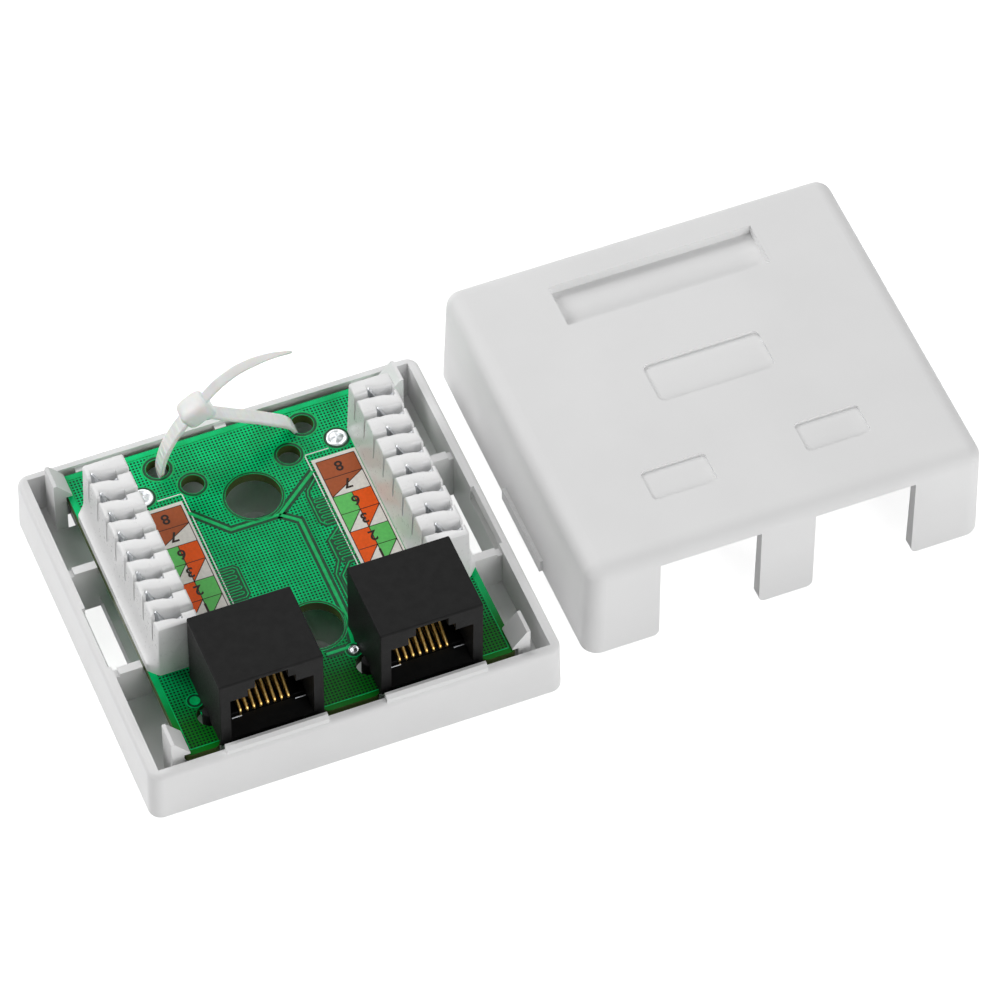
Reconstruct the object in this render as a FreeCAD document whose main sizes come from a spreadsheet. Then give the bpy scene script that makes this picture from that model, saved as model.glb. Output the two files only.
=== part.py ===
import FreeCAD, Part

import math
import os
import re
import Sketcher

# Surface mount jack box with two data jacks, lid lying beside it.
# Origin: centre of the tray's underside. X runs along the front wall, the jacks face -Y.

SIZES = {
    # tray: the wall-side half of the box
    "tray_width": 61.6,
    "tray_depth": 57.4,
    "tray_height": 9.5,
    "side_wall": 1.75,
    "end_wall": 1.5,
    "tray_floor": 2.2,
    "shell_draft": 1.3,
    "tray_corner": 1.9,
    "rim_round": 0.8,
    "foot_round": 0.4,
    # low sills under the jack faces
    "sill_rise": 1.15,
    "sill_thickness": 0.95,
    "sill_bevel": 0.5,
    "sill_end_gap": 0.1,
    # cross ribs and the floor windows between them
    "rib_back": 9.3,
    "rib_front": -8.1,
    "rib_thickness": 1.3,
    "rib_drop": 0.6,
    "rib_gap": 0.35,
    "rib_notch_depth": 0.5,
    "rib_notch_width": 0.75,
    "window_width": 4.25,
    # catch grooves in the side walls for the lid's tongues
    "catch_back": 2.8,
    "catch_lead": 0.5,
    "catch_lead_drop": 0.7,
    "catch_ridge": 0.2,
    "catch_ridge_drop": 1.1,
    "catch_depth": 0.6,
    "catch_depth_drop": 1.5,
    # snap hooks that hold the board
    "hook_front_inset": 2.15,
    "hook_back_inset": 1.85,
    "hook_width": 3.9,
    "hook_post": 1.8,
    "hook_gap": 0.25,
    "hook_lip": 0.65,
    "hook_nose": 0.3,
    "hook_slack": 0.15,
    "hook_head": 3.1,
    "hook_crest": 0.5,
    "relief_width": 1.5,
    # stops at the back wall and seats below the board
    "nub_pitch": 21.1,
    "nub_width": 1.7,
    "nub_slack": 0.1,
    "seat_reach": 0.8,
    "seat_margin": 0.4,
    # screw holes in the tray floor
    "screw_hole": 5.0,
    "screw_back": 13.0,
    "screw_front": -11.7,
    # circuit board
    "board_seat": 7.4,
    "board_thickness": 1.6,
    "board_side_gap": 4.5,
    "board_back_gap": 0.9,
    "board_front_gap": 1.1,
    "board_notch": 1.2,
    "board_corner": 1.0,
    "access_hole": 8.1,
    "small_hole": 3.4,
    "small_hole_x": 7.3,
    "small_hole_inset": 8.1,
    "tie_hole_x": 11.0,
    "tie_hole_inset": 3.65,
    "tail_clearance": 0.15,
    # jacks
    "jack_offset": 11.8,
    "jack_width": 15.24,
    "jack_depth": 13.0,
    "jack_height": 13.3,
    "jack_overhang": 0.1,
    "jack_back_wall": 1.0,
    "jack_edge": 0.25,
    "mouth_width": 12.2,
    "mouth_floor": 1.1,
    "mouth_roof": 3.7,
    "shoulder_width": 7.0,
    "shoulder_roof": 2.2,
    "latch_width": 4.84,
    "latch_roof": 0.55,
    "peg_offset": 6.6,
    "peg_diameter": 2.0,
    "peg_length": 2.4,
    "peg_set_back": 5.6,
    "peg_hole": 3.9,
    "peg_hole_shift": 0.6,
    # contact carrier and spring contacts
    "carrier_front": 3.45,
    "carrier_slack": 0.1,
    "carrier_base": 1.05,
    "carrier_top": 1.85,
    "comb_front": 9.6,
    "comb_top": 5.4,
    "contact_pitch": 1.016,
    "contact_diameter": 0.45,
    "contact_slack": 0.07,
    "contact_bend": 0.33,
    "contact_slope": 27.6,
    "contact_run": 5.6,
    "contact_elbow": 0.5,
    "tail_row_front": 8.0,
    "tail_row_pitch": 2.54,
    "tail_length": 1.0,
    # punch-down blocks
    "block_edge_gap": 1.45,
    "block_width": 6.1,
    "block_height": 10.3,
    "block_jack_gap": 1.4,
    "block_front_end": 2.36,
    "block_back_end": 2.8,
    "block_inner_foot": 0.4,
    "skirt_reach": 1.5,
    "skirt_height": 1.6,
    "skirt_top": 3.4,
    "skirt_flare": 0.25,
    "skirt_corner": 1.9,
    "slot_pitch": 3.72,
    "slot_width": 1.4,
    "slot_floor": 4.6,
    "slot_slope": 1.2,
    "tooth_round": 0.55,
    "blade_outset": 0.75,
    "blade_width": 3.6,
    "blade_thickness": 0.45,
    "blade_turn": 33.0,
    "blade_drop": 1.2,
    "blade_foot": 0.8,
    "blade_slack": 0.08,
    "blade_mouth": 1.1,
    "blade_throat": 0.2,
    "blade_mouth_depth": 0.9,
    "blade_slot_depth": 4.0,
    "blade_tail": 0.9,
    # labels and solder lands
    "label_width": 6.7,
    "label_back_inset": 3.5,
    "label_gap": 0.1,
    "label_thickness": 0.12,
    "label_jack_gap": 0.3,
    "rear_land": 3.1,
    "rear_land_block_gap": 2.25,
    "rear_land_label_gap": 1.05,
    "jack_land": 1.5,
    "jack_land_shift": 8.4,
    "jack_land_back": 8.6,
    "land_height": 0.35,
    "land_round": 0.3,
    # cable tie
    "strap_width": 2.5,
    "strap_thickness": 1.1,
    "strap_set_in": 0.4,
    "strap_below": 1.1,
    # lid
    "lid_height": 17.9,
    "lid_wall": 1.9,
    "lid_roof": 2.5,
    "lid_round": 2.5,
    "lid_set_in": 0.3,
    "lid_spacing": 4.25,
    "lid_shift": 2.05,
    "opening_gap": 0.05,
    "opening_height": 15.4,
    "leg_round": 1.0,
    "tongue_drop": 2.4,
    "tongue_gap": 0.15,
    "tongue_end_gap": 0.3,
    "tongue_thickness": 1.2,
    "tongue_root": 3.0,
    "tongue_bump": 0.35,
    "bump_bottom": 0.5,
    "bump_top": 0.75,
    "bump_fade": 1.05,
    "ridge_back": 2.3,
    "ridge_front": -11.9,
    "ridge_height": 2.2,
    "ridge_proud": 0.5,
    "label_field_width": 31.6,
    "label_field_front": 15.0,
    "label_field_depth": 7.5,
    "label_field_sink": 1.6,
    "badge_width": 18.0,
    "badge_front": -2.95,
    "badge_depth": 7.25,
    "badge_sink": 0.45,
    "badge_round": 1.2,
    "port_field_inner": 6.8,
    "port_field_width": 9.9,
    "port_field_front": -18.85,
    "port_field_depth": 5.45,
    "port_field_sink": 0.4,
    "port_field_round": 0.8,
}

CONTACTS = 8
SIDES = {"left": -1, "right": 1}

doc = FreeCAD.newDocument("SurfaceMountJackBox")
sheet = doc.addObject("Spreadsheet::Sheet", "Sizes")
for row, (name, value) in enumerate(SIZES.items(), 1):
    sheet.set(f"A{row}", name)
    sheet.set(f"B{row}", str(value))
    sheet.setAlias(f"B{row}", name)
doc.recompute()

# Lengths that follow from the sizes above.
inner_x = "(tray_width / 2 - side_wall)"
inner_y = "(tray_depth / 2 - end_wall)"
board_edge = f"({inner_x} - board_side_gap)"
board_back = f"({inner_y} - board_back_gap)"
board_front = f"(board_front_gap - {inner_y})"
board_top = "(board_seat + board_thickness)"
jack_inner = "(jack_offset - jack_width / 2)"
jack_outer = "(jack_offset + jack_width / 2)"
jack_front = f"({board_front} - jack_overhang)"
sill_top = "(tray_height + sill_rise)"
tie_y = f"({board_back} - tie_hole_inset)"
block_x = f"({board_edge} - block_edge_gap - block_width / 2)"
block_inner = f"({block_x} - block_width / 2)"
block_front = f"({jack_front} + jack_depth + block_jack_gap)"
slot_back = f"({block_front} + block_front_end + {CONTACTS - 1} * slot_pitch)"
block_back = f"({slot_back} + block_back_end)"
blade_x = f"({block_x} + blade_outset)"
label_back = f"({block_back} - label_back_inset)"
wire_level = "(carrier_base + contact_slack + contact_diameter / 2)"
lid_half_x = "(tray_width / 2 - lid_set_in)"
lid_half_y = "(tray_depth / 2 - lid_set_in)"

parts = []


def value(text):
    """Number that an expression in size names stands for."""
    return float(sheet.evalExpression(text))


def linked(text):
    """The same expression with every size read from the sheet."""
    return re.sub(r"[a-z_]+", lambda word: ("Sizes." if word.group() in SIZES else "") + word.group(), text)


def bind(target, prop, text):
    target.setExpression(prop, linked(text))


def new_part(label, x="0", y="0", z="0"):
    """Empty body, placed by expressions."""
    body = doc.addObject("PartDesign::Body", label)
    body.Label = label
    bind(body, "Placement.Base.x", x)
    bind(body, "Placement.Base.y", y)
    bind(body, "Placement.Base.z", z)
    parts.append(body)
    return body


def origin_item(body, role):
    return next(item for item in body.Origin.OriginFeatures if item.Role == role)


def new_sketch(body, name, plane, at="0"):
    """Sketch on an origin plane of the body, moved along that plane's axis to a coordinate."""
    sketch = body.newObject("Sketcher::SketchObject", name)
    sketch.AttachmentSupport = [(origin_item(body, plane + "_Plane"), "")]
    sketch.MapMode = "FlatFace"
    sign = "-1" if plane == "XZ" else "1"
    bind(sketch, "AttachmentOffset.Base.z", f"{sign} * ({at})")
    return sketch


def pin(sketch, kind, item, point, text):
    """Distance from the sketch's origin, bound to an expression."""
    constraint = sketch.addConstraint(Sketcher.Constraint(kind, -1, 1, item, point, value(text)))
    bind(sketch, f"Constraints[{constraint}]", text)


def outline(sketch, points):
    """Closed chain of straight edges through points given as expressions."""
    first = sketch.GeometryCount
    corners = [FreeCAD.Vector(value(x), value(y), 0) for x, y in points]
    count = len(points)
    for index, corner in enumerate(corners):
        sketch.addGeometry(Part.LineSegment(corner, corners[(index + 1) % count]))
    for index, (x, y) in enumerate(points):
        following = first + (index + 1) % count
        sketch.addConstraint(Sketcher.Constraint("Coincident", first + index, 2, following, 1))
        pin(sketch, "DistanceX", first + index, 1, x)
        pin(sketch, "DistanceY", first + index, 1, y)


def rectangle(sketch, x0, x1, y0, y1):
    """Rectangle between two pairs of coordinates."""
    first = sketch.GeometryCount
    low = FreeCAD.Vector(value(x0), value(y0), 0)
    high = FreeCAD.Vector(value(x1), value(y1), 0)
    corners = [low, FreeCAD.Vector(high.x, low.y, 0), high, FreeCAD.Vector(low.x, high.y, 0)]
    for index in range(4):
        sketch.addGeometry(Part.LineSegment(corners[index], corners[(index + 1) % 4]))
    for index in range(4):
        following = first + (index + 1) % 4
        direction = "Vertical" if index % 2 else "Horizontal"
        sketch.addConstraint(Sketcher.Constraint("Coincident", first + index, 2, following, 1))
        sketch.addConstraint(Sketcher.Constraint(direction, first + index))
    pin(sketch, "DistanceX", first, 1, x0)
    pin(sketch, "DistanceY", first, 1, y0)
    pin(sketch, "DistanceX", first + 2, 1, x1)
    pin(sketch, "DistanceY", first + 2, 1, y1)


def circle(sketch, x, y, diameter):
    """Circle with its centre and diameter bound."""
    centre = FreeCAD.Vector(value(x), value(y), 0)
    item = sketch.addGeometry(Part.Circle(centre, FreeCAD.Vector(0, 0, 1), value(diameter) / 2))
    pin(sketch, "DistanceX", item, 3, x)
    pin(sketch, "DistanceY", item, 3, y)
    constraint = sketch.addConstraint(Sketcher.Constraint("Diameter", item, value(diameter)))
    bind(sketch, f"Constraints[{constraint}]", diameter)


def track(sketch, start, *legs):
    """Open chain: each leg is an end point, with a radius and a turn (1 left, -1 right) for an arc."""
    here, last = start, None
    for leg in legs:
        a = FreeCAD.Vector(value(here[0]), value(here[1]), 0)
        b = FreeCAD.Vector(value(leg[0]), value(leg[1]), 0)
        if len(leg) == 2:
            item = sketch.addGeometry(Part.LineSegment(a, b))
            begin, end = 1, 2
        else:
            radius, turn = value(leg[2]), leg[3]
            chord = b - a
            left = FreeCAD.Vector(-chord.y, chord.x, 0).normalize()
            rise = math.sqrt(max(radius ** 2 - (chord.Length / 2) ** 2, 0.0))
            centre = (a + b) * 0.5 + left * (turn * rise)
            from_a = math.atan2(a.y - centre.y, a.x - centre.x)
            from_b = math.atan2(b.y - centre.y, b.x - centre.x)
            low, high = (from_a, from_b) if turn > 0 else (from_b, from_a)
            round_shape = Part.Circle(centre, FreeCAD.Vector(0, 0, 1), radius)
            item = sketch.addGeometry(Part.ArcOfCircle(round_shape, low, high))
            begin, end = (1, 2) if turn > 0 else (2, 1)
            constraint = sketch.addConstraint(Sketcher.Constraint("Radius", item, radius))
            bind(sketch, f"Constraints[{constraint}]", leg[2])
        if last is None:
            pin(sketch, "DistanceX", item, begin, here[0])
            pin(sketch, "DistanceY", item, begin, here[1])
        else:
            sketch.addConstraint(Sketcher.Constraint("Coincident", *last, item, begin))
        pin(sketch, "DistanceX", item, end, leg[0])
        pin(sketch, "DistanceY", item, end, leg[1])
        last, here = (item, end), leg[:2]


def pad(sketch, length, toward=1):
    """Pad toward + or - along the sketch plane's axis."""
    feature = sketch.getParent().newObject("PartDesign::Pad", sketch.Name + "_pad")
    feature.Profile = sketch
    feature.Reversed = (toward > 0) == sketch_faces_back(sketch)
    bind(feature, "Length", length)
    sketch.Visibility = False
    return feature


def pocket(sketch, length, toward=1):
    """Pocket toward + or - along the sketch plane's axis."""
    feature = sketch.getParent().newObject("PartDesign::Pocket", sketch.Name + "_cut")
    feature.Profile = sketch
    feature.Reversed = (toward > 0) != sketch_faces_back(sketch)
    bind(feature, "Length", length)
    sketch.Visibility = False
    return feature


def sketch_faces_back(sketch):
    return sketch.AttachmentSupport[0][0].Role == "XZ_Plane"


def pipe(body, name, profile, spine):
    feature = body.newObject("PartDesign::AdditivePipe", name)
    feature.Profile = profile
    feature.Spine = (spine, [f"Edge{index + 1}" for index in range(spine.GeometryCount)])
    feature.Transition = "Right corner"
    return feature


def mirrored(body, name, *features):
    doc.recompute()
    feature = body.newObject("PartDesign::Mirrored", name)
    feature.Originals = list(features)
    feature.MirrorPlane = (origin_item(body, "YZ_Plane"), [""])
    body.Tip = feature
    return feature


def repeated(body, name, feature, axis, length, count, backward=False):
    doc.recompute()
    pattern = body.newObject("PartDesign::LinearPattern", name)
    pattern.Originals = [feature]
    pattern.Direction = (origin_item(body, axis + "_Axis"), [""])
    pattern.Reversed = backward
    pattern.Occurrences = count
    bind(pattern, "Length", length)
    body.Tip = pattern
    return pattern


def rounded(body, name, test, radius, kind="Fillet"):
    """Fillet or chamfer on the edges of the tip whose bounding box passes the test."""
    doc.recompute()
    base = body.Tip
    edges = [f"Edge{index}" for index, edge in enumerate(base.Shape.Edges, 1) if test(edge.BoundBox)]
    feature = body.newObject(f"PartDesign::{kind}", name)
    feature.Base = (base, edges)
    bind(feature, "Radius" if kind == "Fillet" else "Size", radius)
    return feature


def same(a, b):
    return abs(a - b) < 1e-4


def upright(box):
    return box.ZLength > 0.01 and box.XLength < 1e-4 and box.YLength < 1e-4


def level(box, text):
    """Edge that lies flat at a given height."""
    return same(box.ZMin, value(text)) and same(box.ZMax, value(text))


def shell_block(body, name, half_x, half_y, height):
    """Solid block whose side faces lean in by the moulding draft."""
    sketch = new_sketch(body, name, "XY")
    rectangle(sketch, f"-{half_x}", half_x, f"-{half_y}", half_y)
    block = pad(sketch, height)
    bind(block, "TaperAngle", "-shell_draft")


def make_tray():
    body = new_part("base_tray")
    shell_block(body, "tray_block", "(tray_width / 2)", "(tray_depth / 2)", "tray_height")
    rounded(body, "tray_corners", lambda box: box.ZLength > value("tray_height / 2"), "tray_corner")
    rounded(body, "tray_rim", lambda box: level(box, "tray_height"), "rim_round")
    rounded(body, "tray_foot", lambda box: level(box, "0"), "foot_round")
    sketch = new_sketch(body, "tray_hollow", "XY", "tray_floor")
    rectangle(sketch, f"-{inner_x}", inner_x, f"-{inner_y}", inner_y)
    pocket(sketch, "tray_height")

    # Sill below each jack face, its front edge bevelled down to the rim.
    sketch = new_sketch(body, "sill", "YZ", f"{jack_inner} + sill_end_gap")
    outline(sketch, [
        (f"-{inner_y}", "tray_height - rim_round"),
        (f"-{inner_y}", sill_top),
        (f"sill_bevel - sill_thickness - {inner_y}", sill_top),
        (f"-sill_thickness - {inner_y}", f"{sill_top} - sill_bevel"),
        (f"-sill_thickness - {inner_y}", "tray_height - rim_round"),
    ])
    sill = pad(sketch, "jack_width - 2 * sill_end_gap")

    # Cross ribs that carry the board's edge, with a small notch at the wall.
    ribs = []
    for name, start, toward in (("rib_rear", "rib_back", 1), ("rib_fore", "rib_front", -1)):
        sketch = new_sketch(body, name, "XZ", start)
        outline(sketch, [
            (f"{board_edge} - seat_reach", "tray_floor / 2"),
            (f"{inner_x} + side_wall / 2", "tray_floor / 2"),
            (f"{inner_x} + side_wall / 2", "tray_height - rib_drop - rib_notch_depth"),
            (f"{inner_x} - rib_notch_width", "tray_height - rib_drop - rib_notch_depth"),
            (f"{inner_x} - rib_notch_width", "tray_height - rib_drop"),
            (f"{board_edge} + rib_gap", "tray_height - rib_drop"),
            (f"{board_edge} + rib_gap", "board_seat"),
            (f"{board_edge} - seat_reach", "board_seat"),
        ])
        ribs.append(pad(sketch, "rib_thickness", toward))

    sketch = new_sketch(body, "floor_window", "XY")
    rectangle(sketch, f"{inner_x} - window_width", inner_x, "rib_front", "rib_back")
    window = pocket(sketch, "tray_floor")

    # Catch groove: lead-in at the rim, a ridge, then the undercut.
    sketch = new_sketch(body, "catch", "XZ", "rib_front")
    outline(sketch, [
        (inner_x, "tray_height"),
        (f"{inner_x} + catch_lead", "tray_height"),
        (f"{inner_x} + catch_ridge", "tray_height - catch_lead_drop"),
        (f"{inner_x} + catch_ridge", "tray_height - catch_ridge_drop"),
        (f"{inner_x} + catch_depth", "tray_height - catch_depth_drop"),
        (f"{inner_x} + catch_depth", "tray_height - tongue_drop"),
        (inner_x, "tray_height - tongue_drop - catch_depth"),
    ])
    catch = pocket(sketch, "catch_back - rib_front")

    # Hooks: a post beside the board with a wedge-shaped head over its edge.
    hooks = []
    for name, middle in (("hook_fore", f"({board_front} + hook_front_inset)"),
                         ("hook_rear", f"({board_back} - hook_back_inset)")):
        sketch = new_sketch(body, name, "XZ", f"{middle} - hook_width / 2")
        post = f"({board_edge} + hook_gap)"
        lip_level = f"({board_top} + hook_slack)"
        outline(sketch, [
            (post, "tray_floor / 2"),
            (f"{post} + hook_post", "tray_floor / 2"),
            (f"{post} + hook_post", f"{lip_level} + hook_head"),
            (f"{post} + hook_post - hook_crest", f"{lip_level} + hook_head"),
            (f"{board_edge} - hook_lip", f"{lip_level} + hook_nose"),
            (f"{board_edge} - hook_lip", lip_level),
            (post, lip_level),
        ])
        hooks.append(pad(sketch, "hook_width"))
        sketch = new_sketch(body, name + "_relief", "XY")
        rectangle(sketch, f"{post} - relief_width", post,
                  f"{middle} - hook_width / 2", f"{middle} + hook_width / 2")
        hooks.append(pocket(sketch, "tray_floor"))

    # Seats under the two outer board tongues.
    sketch = new_sketch(body, "tongue_seat", "XY", "tray_floor / 2")
    rectangle(sketch, f"{jack_outer} + seat_margin", f"{board_edge} - relief_width",
              f"-{inner_y} - end_wall / 2", f"{board_front} + seat_reach")
    tongue_seat = pad(sketch, "board_seat - tray_floor / 2")
    mirrored(body, "other_side", sill, *ribs, window, catch, *hooks, tongue_seat)

    sketch = new_sketch(body, "middle_seat", "XY", "tray_floor / 2")
    rectangle(sketch, f"seat_margin - {jack_inner}", f"{jack_inner} - seat_margin",
              f"-{inner_y} - end_wall / 2", f"{board_front} + seat_reach")
    pad(sketch, "board_seat - tray_floor / 2")

    # Three stops on the back wall, each with a step that the board rests on.
    sketch = new_sketch(body, "stop", "YZ", "-nub_pitch - nub_width / 2")
    outline(sketch, [
        (f"{inner_y} + end_wall / 2", "tray_floor / 2"),
        (f"{board_back} - seat_reach", "tray_floor / 2"),
        (f"{board_back} - seat_reach", "board_seat"),
        (f"{board_back} + nub_slack", "board_seat"),
        (f"{board_back} + nub_slack", board_top),
        (f"{inner_y} + end_wall / 2", board_top),
    ])
    repeated(body, "stops", pad(sketch, "nub_width"), "X", "2 * nub_pitch", 3)

    sketch = new_sketch(body, "screw_holes", "XY")
    circle(sketch, "0", "screw_back", "screw_hole")
    circle(sketch, "0", "screw_front", "screw_hole")
    pocket(sketch, "tray_floor")


def make_lid():
    body = new_part("cover", f"tray_width / 2 + lid_spacing + {lid_half_x}", "lid_shift", "tongue_drop")
    shell_block(body, "lid_block", lid_half_x, lid_half_y, "lid_height")
    rounded(body, "lid_edges", lambda box: box.ZMax > value("lid_height / 2"), "lid_round")
    sketch = new_sketch(body, "lid_hollow", "XY")
    rectangle(sketch, f"lid_wall - {lid_half_x}", f"{lid_half_x} - lid_wall",
              f"lid_wall - {lid_half_y}", f"{lid_half_y} - lid_wall")
    pocket(sketch, "lid_height - lid_roof")

    # Opening in the front wall for one jack.
    sketch = new_sketch(body, "jack_opening", "XY")
    rectangle(sketch, f"{jack_inner} - opening_gap", f"{jack_outer} + opening_gap",
              f"-{lid_half_y}", f"lid_wall - {lid_half_y}")
    opening = pocket(sketch, "opening_height")

    # Recesses in the top: the label field, the badge and one field over each port.
    sketch = new_sketch(body, "label_field", "XY", "lid_height")
    rectangle(sketch, "-label_field_width / 2", "label_field_width / 2",
              "label_field_front", "label_field_front + label_field_depth")
    pocket(sketch, "label_field_sink", -1)
    sketch = new_sketch(body, "port_field", "XY", "lid_height")
    rectangle(sketch, "port_field_inner", "port_field_inner + port_field_width",
              "port_field_front", "port_field_front + port_field_depth")
    port_field = pocket(sketch, "port_field_sink", -1)

    # Snap tongue inside the side wall and finger ridge outside it.
    tongue_face = f"({inner_x} + catch_ridge - tongue_gap)"
    sketch = new_sketch(body, "tongue", "XZ", "rib_front + tongue_end_gap")
    outline(sketch, [
        (f"{tongue_face} - tongue_thickness", "-tongue_drop"),
        (f"{tongue_face} - tongue_bump", "-tongue_drop"),
        (f"{tongue_face} + tongue_bump", "bump_bottom - tongue_drop"),
        (f"{tongue_face} + tongue_bump", "bump_top - tongue_drop"),
        (tongue_face, "bump_fade - tongue_drop"),
        (tongue_face, "tongue_root"),
        (f"{tongue_face} - tongue_thickness", "tongue_root"),
    ])
    tongue = pad(sketch, "catch_back - rib_front - 2 * tongue_end_gap")
    sketch = new_sketch(body, "ridge", "YZ", f"{lid_half_x} - lid_wall / 2")
    rectangle(sketch, "ridge_front", "ridge_back", "0", "ridge_height")
    ridge = pad(sketch, "ridge_proud + lid_wall / 2")
    mirrored(body, "lid_other_side", opening, port_field, tongue, ridge)

    sketch = new_sketch(body, "badge", "XY", "lid_height")
    rectangle(sketch, "-badge_width / 2", "badge_width / 2", "badge_front", "badge_front + badge_depth")
    pocket(sketch, "badge_sink", -1)
    rounded(body, "badge_corners", lambda box: upright(box) and same(abs(box.XMin), value("badge_width / 2"))
            and box.ZMin > value("lid_height / 2"), "badge_round")
    port_edges = [value("port_field_inner"), value("port_field_inner + port_field_width")]
    rounded(body, "port_field_corners", lambda box: upright(box) and box.ZMin > value("lid_height / 2")
            and box.YMax < value("badge_front") and any(same(abs(box.XMin), x) for x in port_edges),
            "port_field_round")
    leg_edges = [value(f"{jack_inner} - opening_gap"), value(f"{jack_outer} + opening_gap")]
    rounded(body, "leg_ends", lambda box: level(box, "0") and box.XLength < 1e-4
            and any(same(abs(box.XMin), x) for x in leg_edges), "leg_round")


def make_board():
    body = new_part("circuit_board")
    sketch = new_sketch(body, "board_outline", "XY", "board_seat")
    half = [(board_edge, board_front), (jack_outer, board_front), (jack_outer, f"{board_front} + board_notch"),
            (jack_inner, f"{board_front} + board_notch"), (jack_inner, board_front)]
    right = [(x, y) for x, y in reversed(half)]
    left = [(f"-{x}", y) for x, y in half]
    outline(sketch, left + right + [(board_edge, board_back), (f"-{board_edge}", board_back)])
    pad(sketch, "board_thickness")
    rounded(body, "tongue_corners", lambda box: upright(box) and same(box.YMin, value(board_front)),
            "board_corner")

    sketch = new_sketch(body, "board_holes", "XY", "board_seat")
    circle(sketch, "0", "screw_back", "access_hole")
    circle(sketch, "0", "screw_front", "access_hole")
    for side in SIDES.values():
        circle(sketch, f"{side} * small_hole_x", f"{board_back} - small_hole_inset", "small_hole")
        circle(sketch, f"{side} * tie_hole_x", tie_y, "small_hole")
        for end in (-1, 1):
            circle(sketch, f"{side} * jack_offset + {end} * (peg_offset + peg_hole_shift)",
                   f"{jack_front} + peg_set_back", "peg_hole")
    pocket(sketch, "board_thickness")

    tail_hole = "contact_diameter + 2 * tail_clearance"
    for side_name, side in SIDES.items():
        for row in range(2):
            sketch = new_sketch(body, f"{side_name}_tail_row_{row + 1}", "XY", "board_seat")
            circle(sketch, f"{side} * jack_offset - ({CONTACTS - 1} / 2 - {row}) * contact_pitch",
                   f"{jack_front} + tail_row_front + {row} * tail_row_pitch", tail_hole)
            hole = pocket(sketch, "board_thickness")
            repeated(body, f"{side_name}_tails_{row + 1}", hole, "X",
                     f"{CONTACTS - 2} * contact_pitch", CONTACTS // 2)
        sketch = new_sketch(body, f"{side_name}_blade_hole", "XY", "board_seat")
        circle(sketch, f"{side} * {blade_x}", slot_back, "blade_tail + 2 * tail_clearance")
        repeated(body, f"{side_name}_blade_holes", pocket(sketch, "board_thickness"), "Y",
                 f"{CONTACTS - 1} * slot_pitch", CONTACTS, True)


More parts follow.
